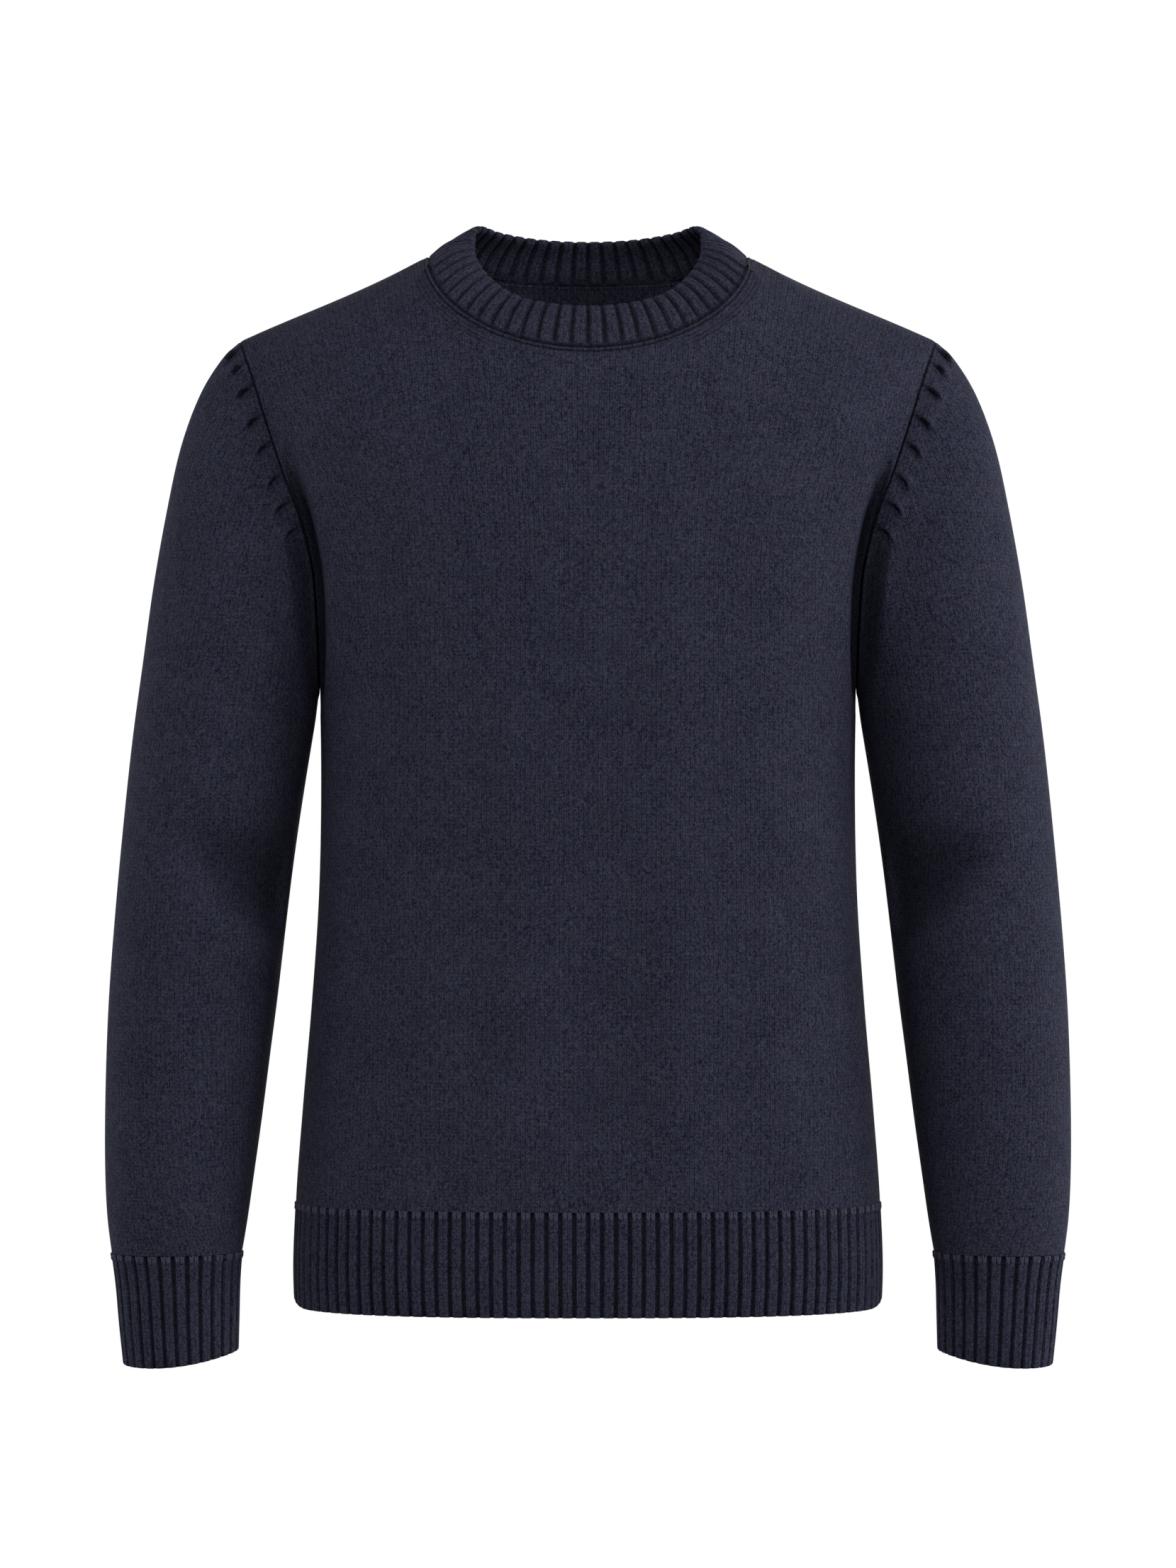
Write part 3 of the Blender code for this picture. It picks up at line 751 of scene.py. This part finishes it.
def ringPoints(form, row, angles, seam=None):
    value = {name: float(readTable(form, name, row)) for name in form["columns"]}
    outer = np.array((value["outerX"], 0.0, value["outerZ"]))
    inner = np.array((value["innerX"], 0.0, value["innerZ"]))
    middle = (outer + inner) / 2
    half = (outer - inner) / 2
    shape = np.stack([np.cos(angles), -np.sin(angles), np.zeros(len(angles))])
    if seam is not None:
        shape = shape * value["round"] + seam * (1 - value["round"])
    along, depth, bow = shape
    points = middle + along[:, None] * half + bow[:, None] * squareTo(half)
    points[:, 1] = value["middleY"] + depth * value["halfDepth"]
    return points


def armWales(points, outer):
    # wales run straight down the arm: level slices give each point its way round
    # from the outer line
    rows, columns = points.shape[:2]
    levels = np.arange(points[-1, :, 2].min(), points[0, outer, 2], sleeveForm["levelStep"])
    slices = np.zeros((len(levels), columns, 3))
    for column in range(columns):
        line = points[::-1, column]
        for k in range(3):
            slices[:, column, k] = np.interp(levels, line[:, 2], line[:, k])
    steps = np.linalg.norm(np.diff(slices, axis=1), axis=2)
    around = np.concatenate((np.zeros((len(levels), 1)), np.cumsum(steps, axis=1)), axis=1)
    around -= around[:, outer:outer + 1]
    down = runLength(points[:, outer])
    flat = np.zeros((rows, columns, 2))
    for column in range(columns):
        z = points[:, column, 2]
        start = np.searchsorted(levels, z[0], side="right")
        flat[:, column, 0] = np.interp(z, levels[:start], around[:start, column])
        flat[:, column, 1] = -np.interp(-z, -points[:, outer, 2], down)
    return flat


# the little dark slits of the shaping, a row down each side of a sleeve's cap
# their darkness, and that of the pleat from each slit to the seam, is painted shade
fashionMarks = {
    "starts": (0.0212, 0.0397, 0.0595, 0.0806, 0.1, 0.121, 0.139, 0.156),
    "near": 0.0034, "far": 0.0122, "fall": 0.004, "hook": 0.0012,
    "sizes": (0.8, 1.15), "jitter": 0.0009, "seed": 5,
    "depth": 0.002, "depthAt": 0.0003, "width": 0.0006, "widen": (0.65, 0.75),
    "dark": 0.97, "darkAt": 0.0002,
    "fadeIn": (-0.25, 0.35), "fadeOut": (1.45, 0.85),
    "step": 0.0029, "stepAt": 0.0008, "stepAbove": 0.0036, "stepBelow": 0.0006,
    "hollow": 0.0013, "hollowAt": 0.003, "hollowSize": 0.0024,
    "pleatDepth": 0.0006, "pleatWidth": 0.0008, "pleatSlope": 0.2, "pleatReach": 0.001,
    "pleatShade": 0.45,
    "fineAway": (0.0015, 0.0135), "fineAbove": 0.008, "fineBelow": 0.016,
}
elbowFolds = {
    "left": (
        {"from": (0.19, -0.424), "to": (0.26, -0.377), "depth": 0.027, "sides": (0.04, 0.015)},
        {"from": (0.205, -0.466), "to": (0.258, -0.452), "depth": 0.0022, "sides": (0.016, 0.011)},
    ),
    "right": (
        {"from": (0.188, -0.423), "to": (0.262, -0.374), "depth": 0.025, "sides": (0.037, 0.014)},
        {"from": (0.203, -0.472), "to": (0.252, -0.462), "depth": 0.0022, "sides": (0.016, 0.011)},
    ),
    "taperIn": (-0.7, -0.1), "taperOut": (1.15, 0.25), "narrow": (1.0, 0.1),
    "lip": 0.12, "lipAt": 2.0,
    # shade and behindShade: painted shade in the hollow, on the front and on the back of the sleeve
    "behindShare": 0.55, "turnStart": 0.05, "turnFull": 0.54, "shade": 0.26, "behindShade": 0.5,
}
signs = {"left": 1.0, "right": -1.0}


def sideFacts(kind, side):
    # names and facing of one of a pair
    return {
        "sign": signs[side], "outward": signs[side], "piece": kind + side.title(),
        "node": f"{kind}_{side}", "slot": f"{kind}_{side}_knit",
    }


def markHeights(away, along):
    # along runs from the shoulder tip, down the front as positive and down the back as negative
    marks = fashionMarks
    random = np.random.default_rng(marks["seed"])
    height = np.zeros(len(away))
    shade = np.zeros(len(away))
    for down in (along, -along):
        for start in marks["starts"]:
            shift = random.uniform(-1, 1, 3) * marks["jitter"]
            size = random.uniform(*marks["sizes"])
            reach = marks["far"] - marks["near"] + shift[1]
            fall = marks["fall"] + shift[2]
            length = math.hypot(reach, fall)
            a = away - marks["near"]
            s = down - start - shift[0]
            t = (a * reach + s * fall) / length ** 2
            w = (s * reach - a * fall) / length
            share = np.clip(t, 0, 1)
            w = w + marks["hook"] * (4 * share * (1 - share) - 0.5)
            inside = np.sin(math.pi * share) ** 0.5
            thin = marks["width"] * (marks["widen"][0] + marks["widen"][1] * share)
            height -= marks["depth"] * size * inside * bell(w - marks["depthAt"], thin)
            # painted shade inside the slit
            shade = np.maximum(shade, marks["dark"] * inside * bell(w - marks["darkAt"], thin))
            around = smoothStep(*marks["fadeIn"], t) * smoothStep(*marks["fadeOut"], t)
            wide = np.where(w < 0, marks["stepAbove"], marks["stepBelow"])
            height += marks["step"] * size * around * bell(w + marks["stepAt"], wide)
            hollow = marks["hollow"] * size * around
            height -= hollow * bell(w - marks["hollowAt"], marks["hollowSize"])
            pleat = bell(s + marks["pleatSlope"] * (marks["near"] - away), marks["pleatWidth"])
            pleat *= nearness(np.clip(a, 0, None), marks["pleatReach"])
            pleat *= np.clip(away / marks["pleatReach"], 0, 1)
            height -= marks["pleatDepth"] * pleat
            # painted shade along the pleat
            shade = np.maximum(shade, marks["pleatShade"] * pleat)
    return height, shade


def elbowMoves(place, facing, folds):
    # a broad hollow with a crease along its lower side, deepest at the inner side of the elbow
    form = elbowFolds
    depth = np.zeros(len(place))
    for fold in folds:
        above, below = fold["sides"]
        start = np.array(fold["from"])
        way = np.array(fold["to"]) - start
        length = np.linalg.norm(way)
        way = way / length
        flat = np.stack([np.abs(place[:, 0]), place[:, 2]], axis=1) - start
        t = flat @ way / length
        w = flat[:, 1] * way[0] - flat[:, 0] * way[1]
        taper = smoothStep(*form["taperOut"], t) * smoothStep(*form["taperIn"], t)
        width = np.where(w > 0, above, below) * (0.5 + 0.5 * smoothStep(*form["narrow"], t))
        depth += fold["depth"] * taper * bell(w, width)
        depth -= form["lip"] * fold["depth"] * taper * bell(w + form["lipAt"] * below, below)
    shown = smoothStep(form["turnStart"], form["turnFull"], np.abs(facing))
    shown = shown * np.where(facing < 0, 1.0, form["behindShare"])
    moves = np.zeros((len(place), 3))
    moves[:, 1] = -np.sign(facing) * depth * shown
    # painted shade in the elbow hollow, weaker on the back of the sleeve
    shade = form["shade"] * np.clip(depth / folds[0]["depth"], 0, 1)
    return moves, shade * np.where(facing < 0, 1.0, form["behindShade"])


def makeSleeve(facts, folds):
    form = sleeveForm
    marks = fashionMarks
    shape = armholeShape()
    angles = np.linspace(0.0, 2 * math.pi, shape.shape[1], endpoint=False)
    rings = np.concatenate((
        np.linspace(0.0, form["capEnd"], form["capRings"] + 1),
        np.linspace(form["capEnd"], len(form["rows"]) - 1, form["armRings"])[1:],
    ))
    rings = np.insert(rings, len(rings) - 1, rings[-1] - form["edgeRing"])
    points = np.array([ringPoints(form, ring, angles, shape) for ring in rings])
    middle = points.shape[1] // 2
    points = np.roll(points, -middle, axis=1)
    points = np.concatenate((points, points[:, :1]), axis=1)
    outer = points.shape[1] - 1 - middle
    flat = armWales(points, outer)
    closed = points * (facts["sign"], 1.0, 1.0)
    mesh = flatGrid(facts["piece"], closed, flat, flip=facts["sign"] < 0)
    tip = runLength(closed[0])[outer]
    finder = edgeFinder(closed[0])
    away, along, _ = measureFrom(mesh, finder)
    down = np.abs(along - tip)
    mesh.verts.index_update()
    fine = (away > marks["fineAway"][0]) & (away < marks["fineAway"][1])
    fine &= down > marks["starts"][0] - marks["fineAbove"]
    fine &= down < marks["starts"][-1] + marks["fineBelow"]
    splitNear(mesh, fine, form["capCuts"])
    away, along, seam = measureFrom(mesh, finder)
    height, shade = markHeights(away, along - tip)
    rolls, dark = rollIn({
        "cap": away, "underarm": awayFrom(mesh, closed[:, 0]), "welt": awayFrom(mesh, closed[-1]),
    })
    mesh.normal_update()
    facing = np.array([vert.normal.y for vert in mesh.verts])
    elbow, elbowPaintedShade = elbowMoves(vertArray(mesh), facing, folds)
    shade = np.max([shade, dark, elbowPaintedShade], axis=0)
    pushOut(mesh, height + rolls)
    shiftVerts(mesh, valleyMoves(away, seam, False) + elbow)
    storeShade(mesh, shade, smoothStep(*form["edgeBlend"], away))
    storeEdgeWales(mesh, away, np.abs(along - tip))
    return finishPiece(facts, mesh, plainKnit, thick=cloth["wall"])


sleevePieces = {side: makeSleeve(sideFacts("sleeve", side), elbowFolds[side]) for side in signs}
print("sleeves made")

# ribs of the hem and cuffs: profile rows run down the outside, round the edge and up the inside
ribForm = {
    "rise": 0.0026, "proud": 0.08, "columnsPerRib": 12, "outerRows": 30, "innerRows": 6,
    "crestHalf": 0.68, "floorHalf": 0.86, "crown": 0.1, "split": 0.04, "splitSize": 0.1,
    # dark, darkEdges and insideDark set the painted shade in the rib valleys
    "dark": 1.0, "darkEdges": (0.03, 0.03), "insideDark": 0.4, "insideRaised": -0.35,
    "edgeRound": 0.0016, "edgeRows": 7, "crowding": 1.35, "fadeReach": 0.0022,
    "hole": 0.0007, "holeAt": 0.0016, "holeSize": 0.0011, "roll": 0.0002, "thicker": 0.2,
}


def ribOff(place):
    # nothing at the middle of a rib and one at the bottom between two
    return np.abs((place % 1.0) - 0.5) * 2


def ribRelief(form, off):
    relief = 1 - smoothStep(form["crestHalf"], form["floorHalf"], off)
    crown = form["crown"] * np.clip(off / form["crestHalf"], 0, 1) ** 2
    relief -= crown * (off < form["floorHalf"])
    return relief - form["split"] * bell(off, form["splitSize"])


def ribShade(form, off):
    # painted shade in the valleys between ribs
    start, end = form["darkEdges"]
    return form["dark"] * smoothStep(form["crestHalf"] + start, form["floorHalf"] - end, off)


def ribWales(places, ribs):
    # each rib is two wales wide, with one between it and the next
    return (3 * places * ribs + 0.5) * cloth["waleWidth"]


def bandProfile(form, length):
    # (share of the way from the seam to the edge, depth into the wall, how far the ribs rise)
    edge = form["edgeRound"] / length
    rows = [(t, 0.0, 1.0) for t in seamFirst(form["outerRows"]) * (1 - edge)]
    for angle in np.linspace(0, math.pi, form["edgeRows"])[1:-1]:
        rows.append((1 - edge + edge * math.sin(angle), (1 - math.cos(angle)) / 2,
                     math.cos(angle) * 0.5 + 0.5))
    inside = seamFirst(form["innerRows"])[::-1] * (1 - edge)
    return rows + [(t, 1.0, form["insideRaised"]) for t in inside]


def seamFirst(rows):
    # shares of a band's height, closer together beside the seam
    return np.linspace(0.0, 1.0, rows + 1) ** ribForm["crowding"]


def finishBand(facts, points, flat, shade, closed=True):
    # joins the profile into a tube; each vertex takes the shade of the point it came from
    points, flat, shade = (np.array(rows + rows[:1]) for rows in (points, flat, shade))
    mesh = flatGrid(facts["piece"], points, flat)
    if not closed:
        ends = [edge for edge in mesh.edges if edge.is_boundary]
        bmesh.ops.holes_fill(mesh, edges=ends, sides=0)
    bmesh.ops.recalc_face_normals(mesh, faces=mesh.faces)
    tree = KDTree(points.shape[0] * points.shape[1])
    for k, point in enumerate(points.reshape(-1, 3)):
        tree.insert(point, k)
    tree.balance()
    shades = shade.reshape(-1)
    found = np.array([shades[tree.find(vert.co)[1]] for vert in mesh.verts])
    storeShade(mesh, found)
    return finishPiece(facts, mesh, ribKnit)


def ribbedBand(facts, basePoints, length, ribs, closed):
    # basePoints(share, places) gives the smooth outer surface from the seam to the edge
    form = ribForm
    places = np.linspace(0.0, 1.0, ribs * form["columnsPerRib"] + 1)
    rows = bandProfile(form, length)
    shares = sorted({round(float(row[0]), 9) for row in rows})
    base = np.array([basePoints(share, places) for share in shares])
    across = np.gradient(base, axis=1)
    if closed:
        across[:, 0] = across[:, -1] = (base[:, 1] - base[:, -2]) / 2
    down = np.gradient(base, np.array(shares), axis=0)
    normals = unit(np.cross(across, down)) * facts["outward"]
    off = ribOff(places * ribs)
    relief = ribRelief(form, off)
    dark = ribShade(form, off)
    points = []
    flat = []
    shade = []
    for share, depth, raised in rows:
        k = shares.index(round(float(share), 9))
        fade = smoothStep(0.0, form["fadeReach"] / length, share)
        hole = bell(share * length - form["holeAt"], form["holeSize"]) * (depth < 0.5)
        hole = form["hole"] * hole
        lift = form["rise"] * ((relief - 1) * (0.45 + 0.55 * fade) + form["proud"]) * raised
        lift = lift - hole * (1 - relief) - form["roll"] * (1 - fade) * (depth < 0.5)
        wall = (cloth["wall"] + form["rise"] * form["thicker"]) * depth
        points.append(base[k] + normals[k] * (lift - wall)[:, None])
        courses = np.full(len(places), -share * length)
        flat.append(np.stack([ribWales(places, ribs), courses], axis=1))
        # painted valley shade, lighter near the seam and on the inside
        shade.append(dark * (0.75 + 0.25 * fade) * (1 if depth < 0.9 else form["insideDark"]))
    return finishBand(facts, points, flat, shade, closed)


# V stitches on top of the ribs: legs lean together, as places across a rib and metres down
topStitches = {
    "rows": (0.0004, 0.0022), "lean": 0.105, "drop": 0.0021, "thick": 0.00066, "long": 0.00165,
    "proud": 0.00025, "around": 7, "turns": 5, "seed": 3, "wander": 0.0003, "probe": 1e-3,
    # this course place lifts them into the rib material's painted highlight
    "flat": (0.71 * cloth["waleWidth"], 455.76 * cloth["courseHeight"]),
}


def makeTopStitches(facts, basePoints, length, ribs, first):
    form = topStitches
    random = np.random.default_rng(form["seed"])
    ball = bmesh.new()
    bmesh.ops.create_uvsphere(ball, u_segments=form["around"], v_segments=form["turns"], radius=1.0)
    leg = bpy.data.meshes.new("leg")
    mesh = bmesh.new()
    step = form["probe"]
    every = range(first, ribs - first)
    for rib, wale, start, side in product(every, (-1, 1), form["rows"], (-1, 1)):
        place = (rib + 0.5 + wale / 6 + side * form["lean"] / 2) / ribs
        share = (start + form["drop"] / 2) / length
        spots = np.array((place - step, place, place + step))
        row = basePoints(share, spots)
        below = basePoints(share + step, spots)[1]
        across = unit(row[2] - row[0])
        down = unit(below - row[1])
        out = unit(np.cross(across, down)) * facts["outward"]
        width = np.linalg.norm(row[2] - row[0]) / (2 * step) * form["lean"] / ribs
        way = unit(down * form["drop"] - across * side * width)
        cross = np.cross(way, out)
        middle = row[1] + out * form["proud"] + down * random.uniform(-1, 1) * form["wander"]
        turn = Matrix((cross * form["thick"], out * form["thick"], way * form["long"]))
        ball.to_mesh(leg)
        leg.transform(Matrix.Translation(middle) @ turn.transposed().to_4x4())
        mesh.from_mesh(leg)
    ball.free()
    bpy.data.meshes.remove(leg)
    uv = mesh.loops.layers.uv.new("wales")
    for face in mesh.faces:
        for loop in face.loops:
            loop[uv].uv = form["flat"]
    bmesh.ops.recalc_face_normals(mesh, faces=mesh.faces)
    storeShade(mesh, np.zeros(len(mesh.verts)))
    finishPiece(facts, mesh, ribKnit, "Stitches")


hemSizes = {
    "front": {
        "side": front, "piece": "hemRibFront", "node": "hem_rib_front", "outward": -1.0,
        "slot": "hem_rib_front_knit", "flat": (0.5, 0.0665),
    },
    "back": {
        "side": back, "piece": "hemRibBack", "node": "hem_rib_back", "outward": 1.0,
        "slot": "hem_rib_back_knit", "flat": (0.492, 0.0665),
    },
    "ribs": 58, "firstStitch": 2, "corner": 0.22, "cornerLift": 0.01,
}


def makeHem(facts):
    form = bodyForm
    top = form["weltZ"] - cloth["gap"] / 2
    height = top - form["hemZ"]

    def surface(share, places):
        shares = 2 * places - 1
        points = section(facts["side"], top - share * height, shares)[0]
        corner = np.clip((np.abs(shares) - 1 + hemSizes["corner"]) / hemSizes["corner"], 0, 1)
        points[:, 2] += hemSizes["cornerLift"] * corner ** 2 * share ** 2
        return points

    makeTopStitches(facts, surface, height, hemSizes["ribs"], hemSizes["firstStitch"])
    return ribbedBand(facts, surface, height, hemSizes["ribs"], closed=False)


hemPieces = {name: makeHem(hemSizes[name]) for name in ("front", "back")}
print("hem made")


def makeCuff(facts):
    form = cuffForm
    last = len(form["rows"]) - 1
    angles = np.linspace(0.0, 2 * math.pi, bodyForm["dense"])

    def surface(share, places):
        ring = ringPoints(form, share * last, angles)
        points = atLength(ring, places * runLength(ring)[-1])
        points[:, 2] -= cloth["gap"] / 2 * (1 - share)
        middle = (ring[:, 0].max() + ring[:, 0].min()) / 2
        across = (points[:, 0] - middle) / (ring[:, 0].max() - middle)
        points[:, 2] -= form["sag"] * share ** 2 * np.clip(1 - across ** 2, 0, 1)
        return points * (facts["sign"], 1.0, 1.0)

    makeTopStitches(facts, surface, form["length"], form["ribs"], form["firstStitch"])
    return ribbedBand(facts, surface, form["length"], form["ribs"], closed=True)


cuffPieces = {side: makeCuff(sideFacts("cuff", side)) for side in signs}
print("cuffs made")

# neckband: a folded rib, with its profile closed round the fold and the seam
foldLine = {
    "columns": ("share", "z"),
    "rows": (
        (-1.0, -0.0392),
        (-0.8, -0.0312),
        (-0.5, -0.0152),
        (-0.2, 0.001),
        (0.05, 0.014),
        (0.3, 0.021),
        (0.65, 0.0192),
        (1.0, 0.0156),
    ),
    "halfWidth": 0.0735, "halfDepth": 0.0775, "middleY": -0.0125, "lead": 0.05,
}
neckSizes = {
    "piece": "neckRib", "node": "neckband", "slot": "neckband_knit",
    "ribs": 60, "thick": 0.005, "bulge": 0.003, "rise": 0.0019, "proud": 0.12,
    "flat": (0.57, 0.038), "dense": 2400, "probe": 0.01, "height": 0.036,
    "crestHalf": 0.61, "floorHalf": 0.8, "crown": 0.07, "split": 0.05, "splitSize": 0.12,
    # dark, darkEdges and seamDark set the painted shade of the rib valleys and of the band's foot
    "dark": 0.6, "darkEdges": (0.04, 0.0), "seamDark": 0.7, "seamDarkReach": 0.05,
    "foldKeep": 0.3, "foldStart": 0.86, "innerDrop": 0.05, "innerLift": 0.26, "seamReach": 0.16,
    "innerStart": 0.82, "innerDepth": (0.6, 0.4), "innerReach": 0.22, "foot": (-0.07, 0.45),
    "outerRows": 14, "foldRows": 10, "innerRows": 12,
}


def neckPoint(angle):
    x = bodyForm["neckHalfWidth"] * np.cos(angle)
    result = np.zeros((len(angle), 3))
    for side, chosen in ((front, np.sin(angle) >= 0), (back, np.sin(angle) < 0)):
        line = panels[side][0][-1, neckPart]
        for k in range(3):
            result[chosen, k] = np.interp(x[chosen], line[:, 0], line[:, k])
    return result


def foldPoint(angle):
    form = foldLine
    angle = angle - form["lead"] * np.sin(2 * angle)
    behind = -np.sin(angle)
    return np.stack([
        form["halfWidth"] * np.cos(angle),
        form["middleY"] + form["halfDepth"] * behind,
        readTable(form, "z", behind),
    ], axis=1)


def neckProfile(facts):
    # (share of the height, depth into the band, which way it faces, fade towards the seam)
    start = facts["foldStart"]
    least, more = facts["innerDepth"]
    rows = [(*facts["foot"], 0.0, 0.0)]
    for t in np.linspace(0.0, 1.0, facts["outerRows"] + 1)[:-1]:
        rows.append((start * t, 0.0, 1.0, t))
    for angle in np.linspace(0.0, math.pi, facts["foldRows"] + 1):
        height = start + (1 - start) * math.sin(angle)
        rows.append((height, (1 - math.cos(angle)) / 2, math.cos(angle), 1.0))
    for t in np.linspace(1.0, 0.0, facts["innerRows"] + 1)[1:]:
        depth = least + more * smoothStep(0.0, facts["innerReach"], t)
        rows.append((facts["innerStart"] * t, depth, -1.0, t))
    return rows


def makeNeckband(facts):
    dense = np.linspace(math.pi / 2, 5 * math.pi / 2, facts["dense"])
    run = runLength((neckPoint(dense) + foldPoint(dense)) / 2)
    places = np.linspace(0.0, 1.0, facts["ribs"] * ribForm["columnsPerRib"] + 1)
    angles = np.interp(places * run[-1], run, dense)
    foot = neckPoint(angles)
    up = foldPoint(angles) - foot
    tall = np.linalg.norm(up, axis=1)[:, None]
    step = facts["probe"]
    along = (neckPoint(angles + step) - neckPoint(angles - step)
             + foldPoint(angles + step) - foldPoint(angles - step))
    out = unit(np.cross(up, along))
    off = ribOff(places * facts["ribs"])
    relief = ribRelief(facts, off)
    dark = ribShade(facts, off)
    points = []
    flat = []
    shade = []
    for height, depth, facing, fade in neckProfile(facts):
        seamFade = smoothStep(0.0, facts["seamReach"], fade)
        bulge = facts["bulge"] * math.sin(math.pi * min(max(height, 0.0), 1.0))
        keep = (0.45 + 0.55 * seamFade) * (1 - (1 - facts["foldKeep"]) * (1 - abs(facing)))
        proud = facts["rise"] * ((relief - 1) * keep + facts["proud"])
        if facing < 0:
            # the inner edge hangs lower at the middle of the back than at its sides
            behind = np.clip(-np.sin(angles), 0, 1) * (1 - fade) ** 2
            lift = facts["innerLift"] * np.cos(angles) ** 2 - facts["innerDrop"]
            height = np.asarray(height + behind * lift)[:, None]
        shift = bulge - depth * facts["thick"] + proud * facing
        stretch = proud * math.sqrt(max(0.0, 1 - facing ** 2))
        points.append(foot + up * height + up / tall * stretch[:, None] + out * shift[:, None])
        course = np.ravel(height) * facts["height"] * (1 if depth < 0.5 else -1)
        course = np.broadcast_to(course, len(places))
        flat.append(np.stack([ribWales(places, facts["ribs"]), course], axis=1))
        # painted shade in the rib valleys, and at the band's foot by the seam
        seamDark = 0.0
        if depth < 0.5:
            seamDark = facts["seamDark"] * (1 - smoothStep(0.0, facts["seamDarkReach"], fade))
        shade.append(np.maximum(dark * (0.5 + 0.5 * seamFade), seamDark))
    return finishBand(facts, points, flat, shade)


neckPiece = makeNeckband(neckSizes)
print("neckband made")

# plain pale floor well below, white surroundings and soft lamps
studio = {
    "floorZ": -2.2, "floorSize": 18.0, "floorColour": (0.8, 0.8, 0.8, 1.0),
    "floorRoughness": 0.9, "floorGlow": 0.75,
    "world": (1.0, 1.0, 1.0, 1.0), "worldStrength": 1.0,
    "panelEdges": (0.3, 0.95),
    "panels": (
        {"toward": (0.85, -0.53, 0.0), "power": 0.71},
        {"toward": (-0.85, -0.53, 0.0), "power": 0.14},
        {"toward": (0.85, 0.53, 0.0), "power": 3.3},
        {"toward": (-0.85, 0.53, 0.0), "power": 2.3},
    ),
    "lampAim": (0.0, 0.0, -0.33),
    "cameraY": -3.5, "cameraZ": -0.339, "focalPixels": 7700.0, "picture": (1659, 2212),
    "lamps": (
        {"name": "key lamp", "at": (3.2, -1.9, 1.2), "size": 1.6, "power": 123.0},
        {"name": "fill lamp", "at": (-3.2, -1.9, 1.2), "size": 1.6, "power": 59.0},
        {"name": "front lamp", "at": (0.0, -3.8, 0.9), "size": 1.6, "power": 91.0},
        {"name": "back lamp", "at": (0.4, 3.8, 0.9), "size": 2.4, "power": 70.0},
    ),
}
floorMesh = bmesh.new()
bmesh.ops.create_grid(floorMesh, x_segments=1, y_segments=1, size=studio["floorSize"] / 2)
bmesh.ops.translate(floorMesh, verts=floorMesh.verts, vec=(0.0, 0.0, studio["floorZ"]))
floorMaterial = bpy.data.materials.new("pale floor")
floorMaterial.use_nodes = True
Wire(floorMaterial.node_tree).fill(floorMaterial.node_tree.nodes["Principled BSDF"], {
    "Base Color": studio["floorColour"], "Roughness": studio["floorRoughness"],
    "Emission Color": studio["world"], "Emission Strength": studio["floorGlow"],
})
floor = meshItem("floor", floorMesh, floorMaterial)
floor.visible_diffuse = False  # white paper that throws no light up at the cloth

world = bpy.data.worlds.new("white studio")
world.use_nodes = True
sky = Wire(world.node_tree)
heading = sky.node("TexCoord", {}, {}, "Generated")
room = 0.0
for panel in studio["panels"]:
    facing = sky.node("VectorMath", {"operation": "DOT_PRODUCT"}, {
        0: heading, 1: panel["toward"],
    }, "Value")
    room = room + sky.node("MapRange", {"interpolation_type": "SMOOTHSTEP"}, {
        "Value": facing, "From Min": studio["panelEdges"][0], "From Max": studio["panelEdges"][1],
        "To Min": 0.0, "To Max": panel["power"],
    })
seen = sky.node("LightPath", {}, {}, "Is Camera Ray")
sky.fill(world.node_tree.nodes["Background"], {
    "Color": studio["world"], "Strength": room * (1.0 - seen) + seen * studio["worldStrength"],
})
bpy.context.scene.world = world

for lamp in studio["lamps"]:
    data = bpy.data.lights.new(lamp["name"], "AREA")
    data.size = lamp["size"]
    data.energy = lamp["power"]
    item = addItem(lamp["name"], data)
    item.location = lamp["at"]
    aim = Vector(studio["lampAim"]) - Vector(lamp["at"])
    item.rotation_euler = aim.to_track_quat("-Z", "Y").to_euler()

camera = addItem("camera", bpy.data.cameras.new("camera"))
camera.location = (0.0, studio["cameraY"], studio["cameraZ"])
camera.rotation_euler = (math.pi / 2, 0.0, 0.0)
camera.data.sensor_width = 36.0
camera.data.lens = studio["focalPixels"] * camera.data.sensor_width / studio["picture"][1]
bpy.context.scene.camera = camera
bpy.context.scene.view_settings.view_transform = "Standard"
print("studio made")
